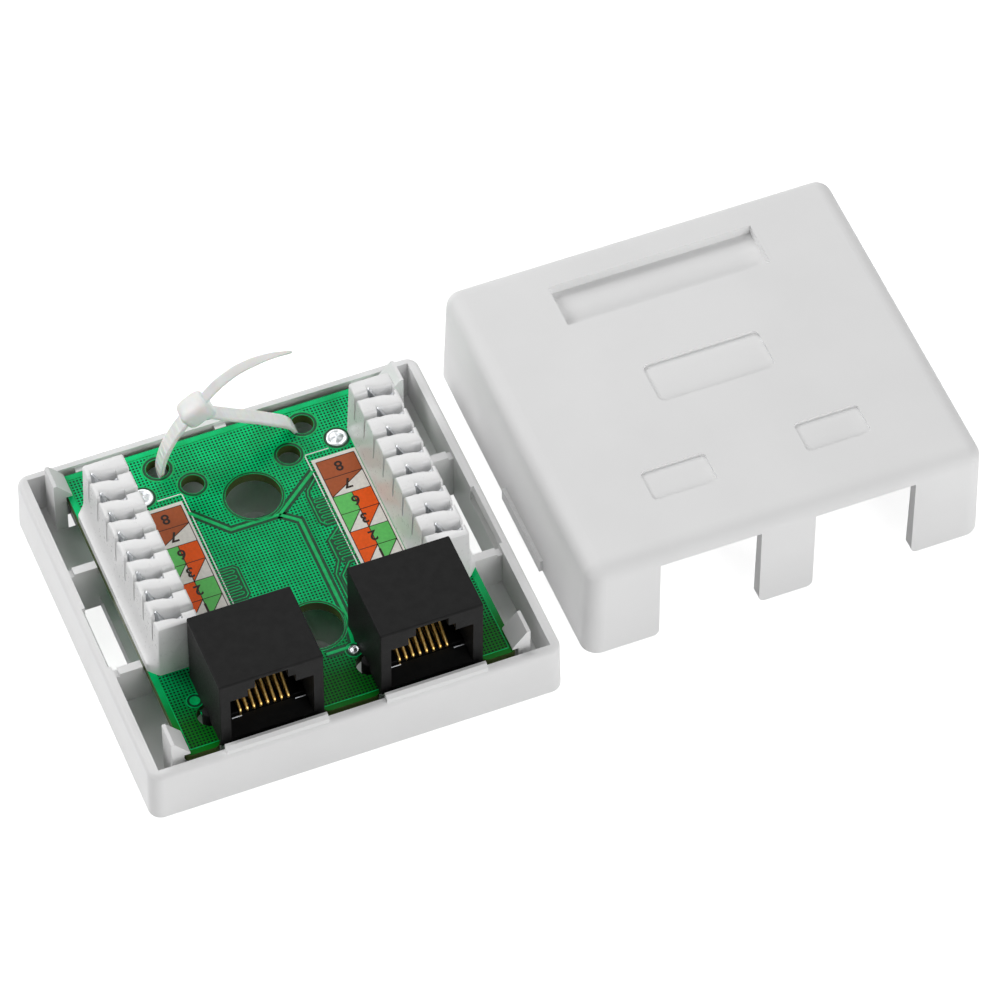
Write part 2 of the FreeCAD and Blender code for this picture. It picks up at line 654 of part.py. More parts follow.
def make_jack(name, side):
    """Housing, contact carrier and eight spring contacts, all from the jack's front bottom centre."""
    place = (f"{side} * jack_offset", jack_front, board_top)
    body = new_part(f"{name}_jack_housing", *place)
    sketch = new_sketch(body, f"{name}_housing_block", "XZ")
    rectangle(sketch, "-jack_width / 2", "jack_width / 2", "0", "jack_height")
    pad(sketch, "jack_depth")
    rounded(body, f"{name}_housing_edges", lambda box: box.ZMin > 0.01 or upright(box), "jack_edge")
    steps = [("mouth_width", "mouth_roof"), ("shoulder_width", "shoulder_roof"), ("latch_width", "latch_roof")]
    right = [("mouth_width / 2", "mouth_floor")]
    for index, (width, roof) in enumerate(steps):
        if index:
            right.append((f"{width} / 2", f"jack_height - {steps[index - 1][1]}"))
        right.append((f"{width} / 2", f"jack_height - {roof}"))
    left = [(f"-({x})", z) for x, z in reversed(right)]
    sketch = new_sketch(body, f"{name}_mouth", "XZ")
    outline(sketch, right + left)
    pocket(sketch, "jack_depth - jack_back_wall")
    sketch = new_sketch(body, f"{name}_carrier_bay", "XY")
    rectangle(sketch, "-mouth_width / 2", "mouth_width / 2",
              "carrier_front - carrier_slack", "jack_depth - jack_back_wall")
    pocket(sketch, "mouth_floor")
    sketch = new_sketch(body, f"{name}_peg", "XY")
    circle(sketch, "peg_offset", "peg_set_back", "peg_diameter")
    peg = pad(sketch, "peg_length", -1)
    mirrored(body, f"{name}_pegs", peg)

    body = new_part(f"{name}_jack_insert", *place)
    sketch = new_sketch(body, f"{name}_carrier", "YZ", "carrier_slack - mouth_width / 2")
    rear = "(jack_depth - jack_back_wall - carrier_slack)"
    outline(sketch, [
        ("carrier_front", "0"),
        (rear, "0"),
        (rear, "comb_top"),
        ("comb_front", "comb_top"),
        ("comb_front", "carrier_top"),
        ("carrier_front", "carrier_top"),
    ])
    pad(sketch, "mouth_width - 2 * carrier_slack")
    first = f"({1 - CONTACTS} / 2 * contact_pitch)"
    groove_half = "(contact_diameter / 2 + contact_slack)"
    sketch = new_sketch(body, f"{name}_groove", "XY", "carrier_base")
    rectangle(sketch, f"{first} - {groove_half}", f"{first} + {groove_half}", "carrier_front",
              "tail_row_front + tail_row_pitch + contact_diameter")
    repeated(body, f"{name}_grooves", pocket(sketch, "comb_top"), "X",
             f"{CONTACTS - 1} * contact_pitch", CONTACTS)
    for row in range(2):
        tail_y = f"(tail_row_front + {row} * tail_row_pitch)"
        sketch = new_sketch(body, f"{name}_tail_slot_{row + 1}", "XY")
        rectangle(sketch, f"{first} + {row} * contact_pitch - {groove_half}",
                  f"{first} + {row} * contact_pitch + {groove_half}",
                  f"{tail_y} - contact_elbow - {groove_half}", f"{tail_y} + {groove_half}")
        repeated(body, f"{name}_tail_slots_{row + 1}", pocket(sketch, "carrier_base"), "X",
                 f"{CONTACTS - 2} * contact_pitch", CONTACTS // 2)

    for index in range(CONTACTS):
        column = f"({index} - {CONTACTS - 1} / 2) * contact_pitch"
        body = new_part(f"{name}_contact_{index + 1}", f"{place[0]} + {column}", place[1], place[2])
        tail_y = f"(tail_row_front + {index % 2} * tail_row_pitch)"
        bottom = "(-board_thickness - tail_length)"
        bend_y = "(carrier_front + contact_bend)"
        top_y = f"({bend_y} - contact_bend * sin(contact_slope))"
        top_z = f"({wire_level} + contact_bend + contact_bend * cos(contact_slope))"
        spine = new_sketch(body, f"{body.Name}_route", "YZ")
        track(spine, (tail_y, bottom),
              (tail_y, f"{wire_level} - contact_elbow"),
              (f"{tail_y} - contact_elbow", wire_level, "contact_elbow", 1),
              (bend_y, wire_level),
              (top_y, top_z, "contact_bend", -1),
              (f"{top_y} + contact_run * cos(contact_slope)", f"{top_z} + contact_run * sin(contact_slope)"))
        profile = new_sketch(body, f"{body.Name}_section", "XY", bottom)
        circle(profile, "0", tail_y, "contact_diameter")
        pipe(body, f"{body.Name}_wire", profile, spine)


def make_block(name, side):
    """Punch-down block: the same moulding on both sides, turned half round on the left."""
    middle_y = f"(({block_back} + {block_front}) / 2)"
    half_length = f"(({block_back} - {block_front}) / 2)"
    body = new_part(f"{name}_punch_down_block", f"{side} * {block_x}", middle_y, board_top)
    sketch = new_sketch(body, f"{name}_block_section", "XZ", f"-{half_length}")
    outward = [
        ("-block_width / 2 - block_inner_foot", "0"),
        ("block_width / 2 + skirt_reach", "0"),
        ("block_width / 2 + skirt_reach", "skirt_height"),
        ("block_width / 2 + skirt_flare", "skirt_top"),
        ("block_width / 2", "block_height"),
        ("-block_width / 2", "block_height"),
    ]
    outline(sketch, [(f"{side} * ({x})", z) for x, z in outward])
    pad(sketch, "2 * " + half_length)
    edge = f"{side} * (block_width / 2 + skirt_reach)"
    sketch = new_sketch(body, f"{name}_corner", "XY")
    for end in (-1, 1):
        outline(sketch, [
            (edge, f"{end} * ({half_length} - skirt_corner)"),
            (f"{edge} - {side} * 1.05 * skirt_reach", f"{end} * {half_length}"),
            (edge, f"{end} * {half_length}"),
        ])
    pocket(sketch, "block_height")

    # Wire slots, their floor falling toward the label side.
    wide = "(block_width / 2 + skirt_reach)"
    slot_y = f"({slot_back} - {middle_y})"
    sketch = new_sketch(body, f"{name}_slot", "XZ", f"{slot_y} - slot_width / 2")
    outline(sketch, [(f"{side} * ({x})", z) for x, z in [
        (f"-{wide}", "block_height - slot_floor - slot_slope"),
        (wide, "block_height - slot_floor + slot_slope / 4"),
        (wide, "block_height"),
        (f"-{wide}", "block_height"),
    ]])
    repeated(body, f"{name}_slots", pocket(sketch, "slot_width"), "Y",
             f"{CONTACTS - 1} * slot_pitch", CONTACTS, True)

    # Slits that hold the blades, turned the same way on both blocks.
    along = ("(blade_width / 2 + blade_slack) * cos(blade_turn)",
             "(blade_width / 2 + blade_slack) * sin(blade_turn)")
    across = ("(blade_thickness / 2 + blade_slack) * sin(blade_turn)",
              "(blade_thickness / 2 + blade_slack) * cos(blade_turn)")
    sketch = new_sketch(body, f"{name}_slit", "XY")
    corners = []
    for a, b in ((1, 1), (-1, 1), (-1, -1), (1, -1)):
        corners.append((f"{side} * blade_outset + {a} * {along[0]} + {b} * {across[0]}",
                        f"{slot_y} - {a} * {along[1]} + {b} * {across[1]}"))
    outline(sketch, corners)
    repeated(body, f"{name}_slits", pocket(sketch, "block_height"), "Y",
             f"{CONTACTS - 1} * slot_pitch", CONTACTS, True)
    half_width = value("block_width / 2")
    rounded(body, f"{name}_tooth_edges", lambda box: level(box, "block_height") and box.YLength < 1e-4
            and box.XLength > half_width / 2, "tooth_round")

    for index in range(CONTACTS):
        body = new_part(f"{name}_blade_{index + 1}", f"{side} * {blade_x}",
                        f"{slot_back} - {index} * slot_pitch", board_top)
        body.Placement = FreeCAD.Placement(body.Placement.Base, FreeCAD.Rotation(FreeCAD.Vector(0, 0, 1), -30))
        bind(body, "Placement.Rotation.Angle", "-blade_turn")
        top = "(block_height - blade_drop)"
        sketch = new_sketch(body, f"{body.Name}_plate", "XZ", "-blade_thickness / 2")
        right = [
            ("blade_tail / 4", "-board_thickness - tail_length"),
            ("blade_tail / 2", "-board_thickness"),
            ("blade_tail / 2", "blade_foot"),
            ("blade_width / 2", "blade_foot"),
            ("blade_width / 2", top),
            ("blade_mouth / 2", top),
            ("blade_throat / 2", f"{top} - blade_mouth_depth"),
            ("blade_throat / 2", f"{top} - blade_slot_depth"),
        ]
        left = [(f"-{x}", z) for x, z in reversed(right)]
        outline(sketch, right + left)
        pad(sketch, "blade_thickness")


def make_label(name, side):
    body = new_part(f"{name}_colour_label", z=board_top)
    sketch = new_sketch(body, f"{name}_label_outline", "XY")
    outer = f"({block_inner} - block_inner_foot - label_gap)"
    rectangle(sketch, f"{side} * {outer}", f"{side} * ({outer} - label_width)",
              f"{jack_front} + jack_depth + label_jack_gap", label_back)
    pad(sketch, "label_thickness")


def make_land(label, x, y, diameter):
    """Low round solder land on the board."""
    body = new_part(label, x, y, board_top)
    sketch = new_sketch(body, label + "_disc", "XY")
    circle(sketch, "0", "0", diameter)
    pad(sketch, "land_height")
    rounded(body, label + "_edge", lambda box: level(box, "land_height"), "land_round")


def spot(across, up):
    """Point of the tie's outline, in shares of the tie holes' distance from the middle."""
    return f"{across} * tie_hole_x", f"{up} * tie_hole_x"


def make_tie():
    """Cable tie: one loop down through the board's two tie holes and up to its head, then the loose tail."""
    body = new_part("cable_tie", "0", tie_y, board_top)
    hole = "(tie_hole_x - strap_set_in)"
    below = "(-board_thickness - strap_below)"
    start = spot(-0.573, 1.109)
    route = [start, spot(-0.573, 1.018), spot(-0.845, 0.382), (f"-{hole}", "0.073 * tie_hole_x"),
             (f"-{hole}", below), (hole, below), (hole, "0.055 * tie_hole_x"), spot(0.836, 0.182),
             spot(0.336, 0.473), spot(-0.082, 0.727), spot(-0.382, 0.991)]
    spine = new_sketch(body, "tie_route", "XZ")
    smooth_route(spine, route)
    profile = new_sketch(body, "tie_section", "XY", start[1])
    rectangle(profile, f"{start[0]} - strap_thickness / 2", f"{start[0]} + strap_thickness / 2",
              "-strap_width / 2", "strap_width / 2")
    pipe(body, "tie_loop", profile, spine)

    start = spot(-0.491, 1.127)
    route = [start, spot(-0.382, 1.127), spot(-0.127, 1.4), spot(0.155, 1.564), spot(0.491, 1.627),
             spot(0.873, 1.609)]
    spine = new_sketch(body, "tail_route", "XZ")
    smooth_route(spine, route)
    profile = new_sketch(body, "tail_section", "YZ", start[0])
    rectangle(profile, "-strap_width / 2", "strap_width / 2",
              f"{start[1]} - strap_thickness / 2", f"{start[1]} + strap_thickness / 2")
    pipe(body, "tie_tail", profile, spine)

    # Wedge-shaped head.
    sketch = new_sketch(body, "tie_head", "XZ", "-0.9 * strap_width")
    outline(sketch, [spot(-0.636, 0.936), spot(-0.227, 0.764), spot(-0.236, 1.118), spot(-0.436, 1.336),
                     spot(-0.645, 1.245)])
    pad(sketch, "1.8 * strap_width")

    # Pointed end of the tail.
    sketch = new_sketch(body, "tie_point", "XY", "1.36 * tie_hole_x")
    begin, end = "0.6 * tie_hole_x", "0.882 * tie_hole_x"
    for edge in (-1, 1):
        outline(sketch, [(begin, f"{edge} * strap_width"), (begin, f"{edge} * strap_width / 2"),
                         (end, f"{edge} * strap_width / 8"), (end, f"{edge} * strap_width")])
    pocket(sketch, "0.45 * tie_hole_x")


def smooth_route(sketch, route):
    """Open chain through the route's points, each corner an arc tangent to its two runs."""
    points = [FreeCAD.Vector(value(x), value(z), 0) for x, z in route]
    here = points[0]
    for before, corner, after in zip(points, points[1:], points[2:]):
        back, ahead = (before - corner), (after - corner)
        turn = math.pi - back.getAngle(ahead)
        reach = 0.4 * min(back.Length, ahead.Length)
        enter = corner + back.normalize() * reach
        leave = corner + ahead.normalize() * reach
        middle = back + ahead
        radius = reach / math.tan(turn / 2)
        hub = corner + middle.normalize() * (radius / math.cos(turn / 2))
        waist = hub + (corner - hub).normalize() * radius
        sketch.addGeometry(Part.LineSegment(here, enter))
        sketch.addGeometry(Part.Arc(enter, waist, leave))
        here = leave
    sketch.addGeometry(Part.LineSegment(here, points[-1]))
    for index in range(sketch.GeometryCount):
        sketch.addConstraint(Sketcher.Constraint("Block", index))


make_tray()
make_board()
for side_name, side_sign in SIDES.items():
    make_jack(side_name, side_sign)
    make_block(side_name, side_sign)
    make_label(side_name, side_sign)
    make_land(f"{side_name}_rear_land", f"{side_sign} * ({block_inner} - rear_land_block_gap)",
              f"{label_back} + rear_land_label_gap + rear_land / 2", "rear_land")
    make_land(f"{side_name}_jack_land", f"{side_sign} * jack_offset - jack_land_shift",
              f"{jack_front} + jack_land_back", "jack_land")
make_tie()
make_lid()
doc.recompute()

for item in doc.Objects:
    if "Invalid" in item.State or "Error" in item.State:
        raise RuntimeError(f"{item.Name} did not build: {item.State}")
    if item.TypeId == "PartDesign::Pocket" and item.Shape.Volume > item.BaseFeature.Shape.Volume - 1e-6:
        raise RuntimeError(f"{item.Name} cuts nothing")
for body in parts:
    if body.Shape.isNull() or not body.Shape.isValid():
        raise RuntimeError(f"{body.Label} has no valid shape")

os.makedirs("parts", exist_ok=True)
for body in parts:
    body.Shape.exportStep(f"parts/{body.Label}.step")
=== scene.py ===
import bpy
import numpy as np
from bpy.props import FloatProperty, FloatVectorProperty, PointerProperty
from mathutils import Matrix, Vector


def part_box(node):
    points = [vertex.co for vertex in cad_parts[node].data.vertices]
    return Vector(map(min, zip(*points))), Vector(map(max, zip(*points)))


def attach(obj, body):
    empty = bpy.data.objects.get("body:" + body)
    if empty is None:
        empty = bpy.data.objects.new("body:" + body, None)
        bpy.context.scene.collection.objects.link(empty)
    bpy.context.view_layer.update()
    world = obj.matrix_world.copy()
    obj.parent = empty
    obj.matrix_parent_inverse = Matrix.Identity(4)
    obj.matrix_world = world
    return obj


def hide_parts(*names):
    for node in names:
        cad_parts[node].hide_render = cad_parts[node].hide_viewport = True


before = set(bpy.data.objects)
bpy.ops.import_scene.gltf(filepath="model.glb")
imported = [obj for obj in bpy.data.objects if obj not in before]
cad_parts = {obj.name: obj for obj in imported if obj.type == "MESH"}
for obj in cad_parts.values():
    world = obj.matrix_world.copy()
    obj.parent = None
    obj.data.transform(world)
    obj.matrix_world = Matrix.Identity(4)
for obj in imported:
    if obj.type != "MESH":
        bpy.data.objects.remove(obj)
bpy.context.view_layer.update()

bl_info = {
    "name": "Surface mount jack box",
    "version": (1, 0, 0),
    "blender": (4, 5, 0),
    "location": "View3D > Sidebar > Jack box",
    "description": "Dresses the packed jack box: board print, colour labels, cable tie and finishes",
    "category": "Object",
}

MM = 0.001
SIDES = {"left": -1, "right": 1}
WAYS = 8


def millimetres(box):
    """Low and high corner of a box given in metres."""
    return [np.array(corner) / MM for corner in box]


BOARD_LOW, BOARD_HIGH = millimetres(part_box("circuit_board"))
BOARD_TOP = float(BOARD_HIGH[2])
SUNK = -0.02  # foot of tracks and rims, inside the board so that no gap shows


# ---------------------------------------------------------------- colour and nodes

def linear(hex_colour):
    """Linear RGBA of an sRGB hex colour."""
    srgb = np.array([int(hex_colour[i:i + 2], 16) for i in (1, 3, 5)]) / 255
    light = np.where(srgb <= 0.04045, srgb / 12.92, ((srgb + 0.055) / 1.055) ** 2.4)
    return (*light.tolist(), 1.0)


def node(tree, kind, inputs=None, stops=(), **settings):
    """Adds a node with its settings; each input is a value, an output, or a node whose first output feeds it."""
    made = tree.nodes.new("ShaderNode" + kind)
    for name, setting in settings.items():
        setattr(made, name, setting)
    for index, (position, colour) in enumerate(stops):
        made.color_ramp.elements[index].position = position
        made.color_ramp.elements[index].color = colour
    for name, given in (inputs or {}).items():
        if isinstance(given, bpy.types.Node):
            given = given.outputs[0]
        if isinstance(given, bpy.types.NodeSocket):
            tree.links.new(given, made.inputs[name])
        else:
            made.inputs[name].default_value = given
    return made


def bare_material(name, constants):
    """Material with one Principled surface, its constants set on the shader's own sockets."""
    material = bpy.data.materials.new(name)
    material.use_nodes = True
    tree = material.node_tree
    surface = tree.nodes["Principled BSDF"]
    for socket, value in constants.items():
        surface.inputs[socket.replace("_", " ")].default_value = value
    return material, tree, surface


# The share of a noise where its lower and its upper tone are reached.
CLOUD_SPREAD = (0.35, 0.65)
GRAIN_SPREAD = (0.3, 0.7)


def finish(name, low, high, mottle, grit, depth, rough, stretch=(1.0, 1.0, 1.0), **constants):
    """Two tones mixed by clouds of a mottle size; grit of a size gives relief of a depth and uneven roughness.

    Sizes and depth are in millimetres in object space; rough is the least and most roughness."""
    material, tree, surface = bare_material(name, constants)
    place = node(tree, "Mapping", {"Vector": node(tree, "TexCoord").outputs["Object"], "Scale": stretch})
    clouds = node(tree, "TexNoise", {"Vector": place, "Scale": 1 / (mottle * MM), "Detail": 4.0}).outputs["Fac"]
    tone = node(tree, "ValToRGB", {"Fac": clouds}, stops=tuple(zip(CLOUD_SPREAD, (low, high))))
    tree.links.new(tone.outputs["Color"], surface.inputs["Base Color"])
    grains = node(tree, "TexNoise", {"Vector": place, "Scale": 1 / (grit * MM), "Detail": 3.0}).outputs["Fac"]
    gloss = node(tree, "MapRange", {"Value": grains, "From Min": GRAIN_SPREAD[0], "From Max": GRAIN_SPREAD[1],
                                    "To Min": rough[0], "To Max": rough[1]})
    tree.links.new(gloss.outputs[0], surface.inputs["Roughness"])
    bump = node(tree, "Bump", {"Height": grains, "Distance": depth * MM})
    tree.links.new(bump.outputs[0], surface.inputs["Normal"])
    return material


def moulded_abs(name, low, high):
    """White ABS from a spark-eroded mould: satin, with a fine even grain and hardly any change of tone.

    The real grit is about 0.05 mm and is drawn at 0.3 mm so that it shows."""
    return finish(name, low, high, mottle=14, grit=0.3, depth=0.004, rough=(0.38, 0.5),
                  IOR=1.53, Specular_IOR_Level=0.15)


def moulded_polycarbonate(name, low, high):
    """White polycarbonate of the wire blocks: smoother and a little glossier than the shell."""
    return finish(name, low, high, mottle=6, grit=0.5, depth=0.004, rough=(0.26, 0.36),
                  IOR=1.58, Specular_IOR_Level=0.4)


def filled_nylon(name, low, high, rough):
    """Glass-filled black nylon: dark satin, mottled where fibres reach the skin."""
    return finish(name, low, high, mottle=1.6, grit=0.22, depth=0.008, rough=rough, IOR=1.53, Specular_IOR_Level=0.07)


def plated_metal(name, low, high, rough):
    """Plated and drawn metal: streaks run upwards along it, 0.25 mm apart so that they show."""
    return finish(name, low, high, mottle=0.25, grit=0.25, depth=0.006, rough=rough, stretch=(1.0, 1.0, 0.15),
                  Metallic=1.0)


def solder_tin(name, low, high):
    """Tin solder that has flowed and set: satin bright, with shallow lumps about 0.5 mm across."""
    return finish(name, low, high, mottle=0.5, grit=0.5, depth=0.04, rough=(0.32, 0.48), Metallic=1.0)


def lacquered_copper(name, low, high):
    """Solder mask over solid copper or bare laminate: a smooth skin with slight waviness and little glare."""
    return finish(name, low, high, mottle=0.9, grit=0.25, depth=0.006, rough=(0.2, 0.32),
                  IOR=1.5, Specular_IOR_Level=0.1)


def printed_paper(name, low, high):
    """Coated paper and screen-printed ink: faint fibres and uneven ink, drawn 0.4 mm across."""
    return finish(name, low, high, mottle=0.45, grit=0.4, depth=0.006, rough=(0.5, 0.65),
                  IOR=1.45, Specular_IOR_Level=0.25)


def natural_nylon(name, low, high):
    """Uncoloured nylon of a cable tie: milky, smooth and slightly translucent, brighter where it is thin."""
    return finish(name, low, high, mottle=2.5, grit=0.5, depth=0.006, rough=(0.28, 0.4),
                  IOR=1.53, Specular_IOR_Level=0.4, Subsurface_Weight=0.4, Subsurface_Scale=1.2 * MM)


def hatched_board(name, settings):
    """Green solder mask over a copper mesh: bright lines with dark square gaps, painted shade darkening it towards
    the front edge, and woven glass at cut edges.

    Each gap is where the cosines of both directions rise above the line's share of the pitch."""
    gap_edge = 4.0  # crispness of the gaps' edges
    front_shade_fade = (-10, -21)  # Y in mm where the painted shade of the front begins and is full
    cloud_size, layer_pitch, dent, rough = 4, 0.27, 0.05, (0.22, 0.38)  # mm; glass layers are finer in reality
    upward = 0.5  # least Z of the normal on faces that count as flat
    wave_turn = 0.314  # period of the wave texture at scale 1
    material, tree, surface = bare_material(name, {"IOR": 1.5, "Specular_IOR_Level": 0.05})
    coordinates = node(tree, "TexCoord")
    spot = coordinates.outputs["Object"]
    place = node(tree, "SeparateXYZ", {"Vector": spot}).outputs
    facing = node(tree, "SeparateXYZ", {"Vector": coordinates.outputs["Normal"]}).outputs[2]
    middle, half = (BOARD_HIGH + BOARD_LOW) / 2, (BOARD_HIGH - BOARD_LOW) / 2 - settings.hatch_margin / MM
    openings = []
    for axis in (0, 1):
        turn = node(tree, "Math", {0: place[axis], 1: 2 * np.pi / settings.hatch_pitch}, operation="MULTIPLY")
        wave = node(tree, "Math", {0: turn}, operation="COSINE")
        above = node(tree, "Math", {0: wave, 1: settings.hatch_line}, operation="SUBTRACT")
        step = node(tree, "Math", {0: above, 1: gap_edge}, operation="MULTIPLY", use_clamp=True)
        apart = node(tree, "Math", {0: place[axis], 1: middle[axis] * MM}, operation="SUBTRACT")
        reach = node(tree, "Math", {0: apart}, operation="ABSOLUTE")
        inside = node(tree, "Math", {0: reach, 1: half[axis] * MM}, operation="LESS_THAN")
        openings.append(node(tree, "Math", {0: step, 1: inside}, operation="MULTIPLY"))
    square = node(tree, "Math", {0: openings[0], 1: openings[1]}, operation="MULTIPLY")
    level = node(tree, "Math", {0: facing, 1: upward}, operation="GREATER_THAN")
    gap = node(tree, "Math", {0: square, 1: level}, operation="MULTIPLY")
    clouds = node(tree, "TexNoise", {"Vector": spot, "Scale": 1 / (cloud_size * MM), "Detail": 3.0}).outputs["Fac"]
    lacquer = node(tree, "ValToRGB", {"Fac": clouds},
                   stops=tuple(zip(CLOUD_SPREAD, (settings.lacquer_shade, settings.lacquer))))
    # Painted shade: towards the front edge the lacquer is mixed into a darker green, standing for the shade that
    # falls there.
    ahead = node(tree, "MapRange", {"Value": place[1], "From Min": front_shade_fade[0] * MM,
                                    "From Max": front_shade_fade[1] * MM})
    front_shaded = node(tree, "Mix", {0: ahead, 6: lacquer, 7: settings.front}, data_type="RGBA")
    hatched = node(tree, "Mix", {0: gap, 6: front_shaded.outputs[2], 7: settings.gap}, data_type="RGBA")
    # Cut edges show their glass layers, olive and brown.
    layers = node(tree, "TexWave", {"Vector": spot, "Scale": wave_turn / (layer_pitch * MM), "Distortion": 2.0,
                                    "Detail": 2.0}, bands_direction="Z").outputs["Fac"]
    laminate = node(tree, "ValToRGB", {"Fac": layers}, stops=((0.2, settings.edge_shade), (0.8, settings.edge)))
    upright = node(tree, "Math", {0: facing}, operation="ABSOLUTE")
    flat = node(tree, "Math", {0: upright, 1: upward}, operation="GREATER_THAN")
    whole = node(tree, "Mix", {0: flat, 6: laminate, 7: hatched.outputs[2]},
                 data_type="RGBA")
    tree.links.new(whole.outputs[2], surface.inputs["Base Color"])
    gloss = node(tree, "MapRange", {"Value": clouds, "To Min": rough[0], "To Max": rough[1]})
    tree.links.new(gloss.outputs[0], surface.inputs["Roughness"])
    bump = node(tree, "Bump", {"Height": gap, "Distance": -dent * MM})
    tree.links.new(bump.outputs[0], surface.inputs["Normal"])
    return material


# ---------------------------------------------------------------- meshes from arrays

def new_mesh(name, vertices, faces):
    """Mesh from millimetre coordinates."""
    mesh = bpy.data.meshes.new(name)
    mesh.from_pydata((np.asarray(vertices, float) * MM).tolist(), [], [list(face) for face in faces])
    mesh.validate()
    return mesh


def new_piece(name, mesh, material, smooth=35.0):
    """Piece that rides the base; faces that meet at less than the smooth angle are shaded as one."""
    mesh.name = name
    if smooth:
        mesh.shade_smooth()
        mesh.set_sharp_from_angle(angle=np.radians(smooth))
    mesh.materials.clear()
    mesh.materials.append(material)
    piece = bpy.data.objects.new(name, mesh)
    bpy.context.scene.collection.objects.link(piece)
    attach(piece, "base")
    return piece


def grid_faces(rows, columns):
    """Quads between the rows of a grid, each row joined round."""
    r = np.arange(rows - 1)[:, None] * columns
    c = np.arange(columns)[None, :]
    following = (c + 1) % columns
    return np.stack([r + c, r + following, r + columns + following, r + columns + c], -1).reshape(-1, 4)


def lofted(rings):
    """Closed solid through rings of equal count, an array (rows, columns, 3), with a flat face at each end."""
    rings = np.asarray(rings, float)
    rows, columns = rings.shape[:2]
    faces = grid_faces(rows, columns).tolist()
    faces += [list(range(columns))[::-1], list(range((rows - 1) * columns, rows * columns))]
    return rings.reshape(-1, 3), faces


def gathered(shapes):
    """Several (vertices, faces) sets as one."""
    vertices, faces, start = [], [], 0
    for points, quads in shapes:
        vertices.append(np.asarray(points, float))
        faces += [[index + start for index in face] for face in quads]
        start += len(points)
    return np.concatenate(vertices), faces


def swept(path, section, across):
    """Section (a, b) carried along a path: a goes along the across direction, b square to it, corners mitred."""
    path = np.asarray(path, float)
    path = path[np.r_[True, np.linalg.norm(np.diff(path, axis=0), axis=1) > 1e-4]]
    steps = np.diff(path, axis=0)
    steps /= np.linalg.norm(steps, axis=1)[:, None]
    before, after = np.vstack([steps[:1], steps]), np.vstack([steps, steps[-1:]])
    along = before + after
    along /= np.linalg.norm(along, axis=1)[:, None]
    stretch = 1 / np.clip((along * after).sum(1), 0.5, 1)
    up = np.broadcast_to(np.asarray(across, float), path.shape)
    side = np.cross(along, up)
    side /= np.linalg.norm(side, axis=1)[:, None]
    up = np.cross(side, along)
    a, b = np.asarray(section, float).T
    return lofted(path[:, None] + side[:, None] * (a[None, :] * stretch[:, None])[..., None]
                  + up[:, None] * b[None, :, None])


def board_ribbon(points, width, high, bevel):
    """Track on the board: a low trapezium carried along points given in board coordinates."""
    half = width / 2
    path = [(x, y, BOARD_TOP) for x, y in points]
    return swept(path, [(half, SUNK), (half - bevel, high), (bevel - half, high), (-half, SUNK)], (0, 0, 1))


def turned(centre, profile, segments=40, lumps=0.0):
    """Profile of (radius, height) pairs turned about an upright axis.

    The lumps are waves with three and five crests round, highest halfway to the rim."""
    angle = np.linspace(0, 2 * np.pi, segments, endpoint=False)
    radius, height = np.asarray(profile, float).T
    wobble = lumps * (np.sin(3 * angle + 1) + 0.6 * np.sin(5 * angle))
    points = np.stack([centre[0] + radius[:, None] * np.cos(angle), centre[1] + radius[:, None] * np.sin(angle),
                       BOARD_TOP + height[:, None] + wobble * (radius * (radius.max() - radius))[:, None]], -1)
    return points.reshape(-1, 3), grid_faces(len(profile), segments).tolist()


def slab(corners, low, high):
    """Flat plate over an outline of (x, y) corners."""
    corners = np.asarray(corners, float)
    levels = np.array([low, high])[:, None, None] * np.ones((1, len(corners), 1))
    return lofted(np.concatenate([np.broadcast_to(corners, (2, *corners.shape)), levels], -1))


def curve_through(points, count):
    """Smooth curve through points: a cubic between each two, whose slope at a point is that of its neighbours."""
    points = np.asarray(points, float)
    padded = np.vstack([2 * points[0] - points[1], points, 2 * points[-1] - points[-2]])
    place = np.linspace(0, len(points) - 1 - 1e-9, count)
    run, t = place.astype(int), (place % 1)[:, None]
    p0, p1, p2, p3 = (padded[run + i] for i in range(4))
    return 0.5 * (2 * p1 + (p2 - p0) * t + (2 * p0 - 5 * p1 + 4 * p2 - p3) * t ** 2
                  + (3 * p1 - p0 - 3 * p2 + p3) * t ** 3)


def snake(near, far, first, pitch, turns):
    """Snaking track: straight runs in X joined by half circles that bulge past near and far."""
    bend = np.linspace(0, np.pi, 7)
    out = np.sign(far - near)
    points = [(near, first)]
    for turn in range(turns):
        edge, sign = (far, out) if turn % 2 == 0 else (near, -out)
        y = first - turn * pitch - pitch / 2
        points += [(edge + sign * pitch / 2 * np.sin(a), y + pitch / 2 * np.cos(a)) for a in bend]
    return points


def squared(wave, power):
    """A sine or cosine to a power, its sign kept: a power under 1 makes a circle into a rounded square."""
    return np.sign(wave) * np.abs(wave) ** power


def rounded_box(centre, half, tilt):
    """Superellipsoid: half sizes times the powered sines and cosines of two angles, tilted about Y by degrees."""
    power, count = 0.5, 28
    around = np.linspace(0, 2 * np.pi, count, endpoint=False)
    rise = np.linspace(-np.pi / 2, np.pi / 2, count // 2 + 1)[1:-1]
    x = squared(np.cos(rise), power)[:, None] * squared(np.cos(around), power) * half[0]
    y = squared(np.cos(rise), power)[:, None] * squared(np.sin(around), power) * half[1]
    z = np.broadcast_to(squared(np.sin(rise), power)[:, None] * half[2], x.shape)
    c, s = np.cos(np.radians(tilt)), np.sin(np.radians(tilt))
    return lofted(np.stack([centre[0] + c * x + s * z, centre[1] + y, centre[2] - s * x + c * z], -1))


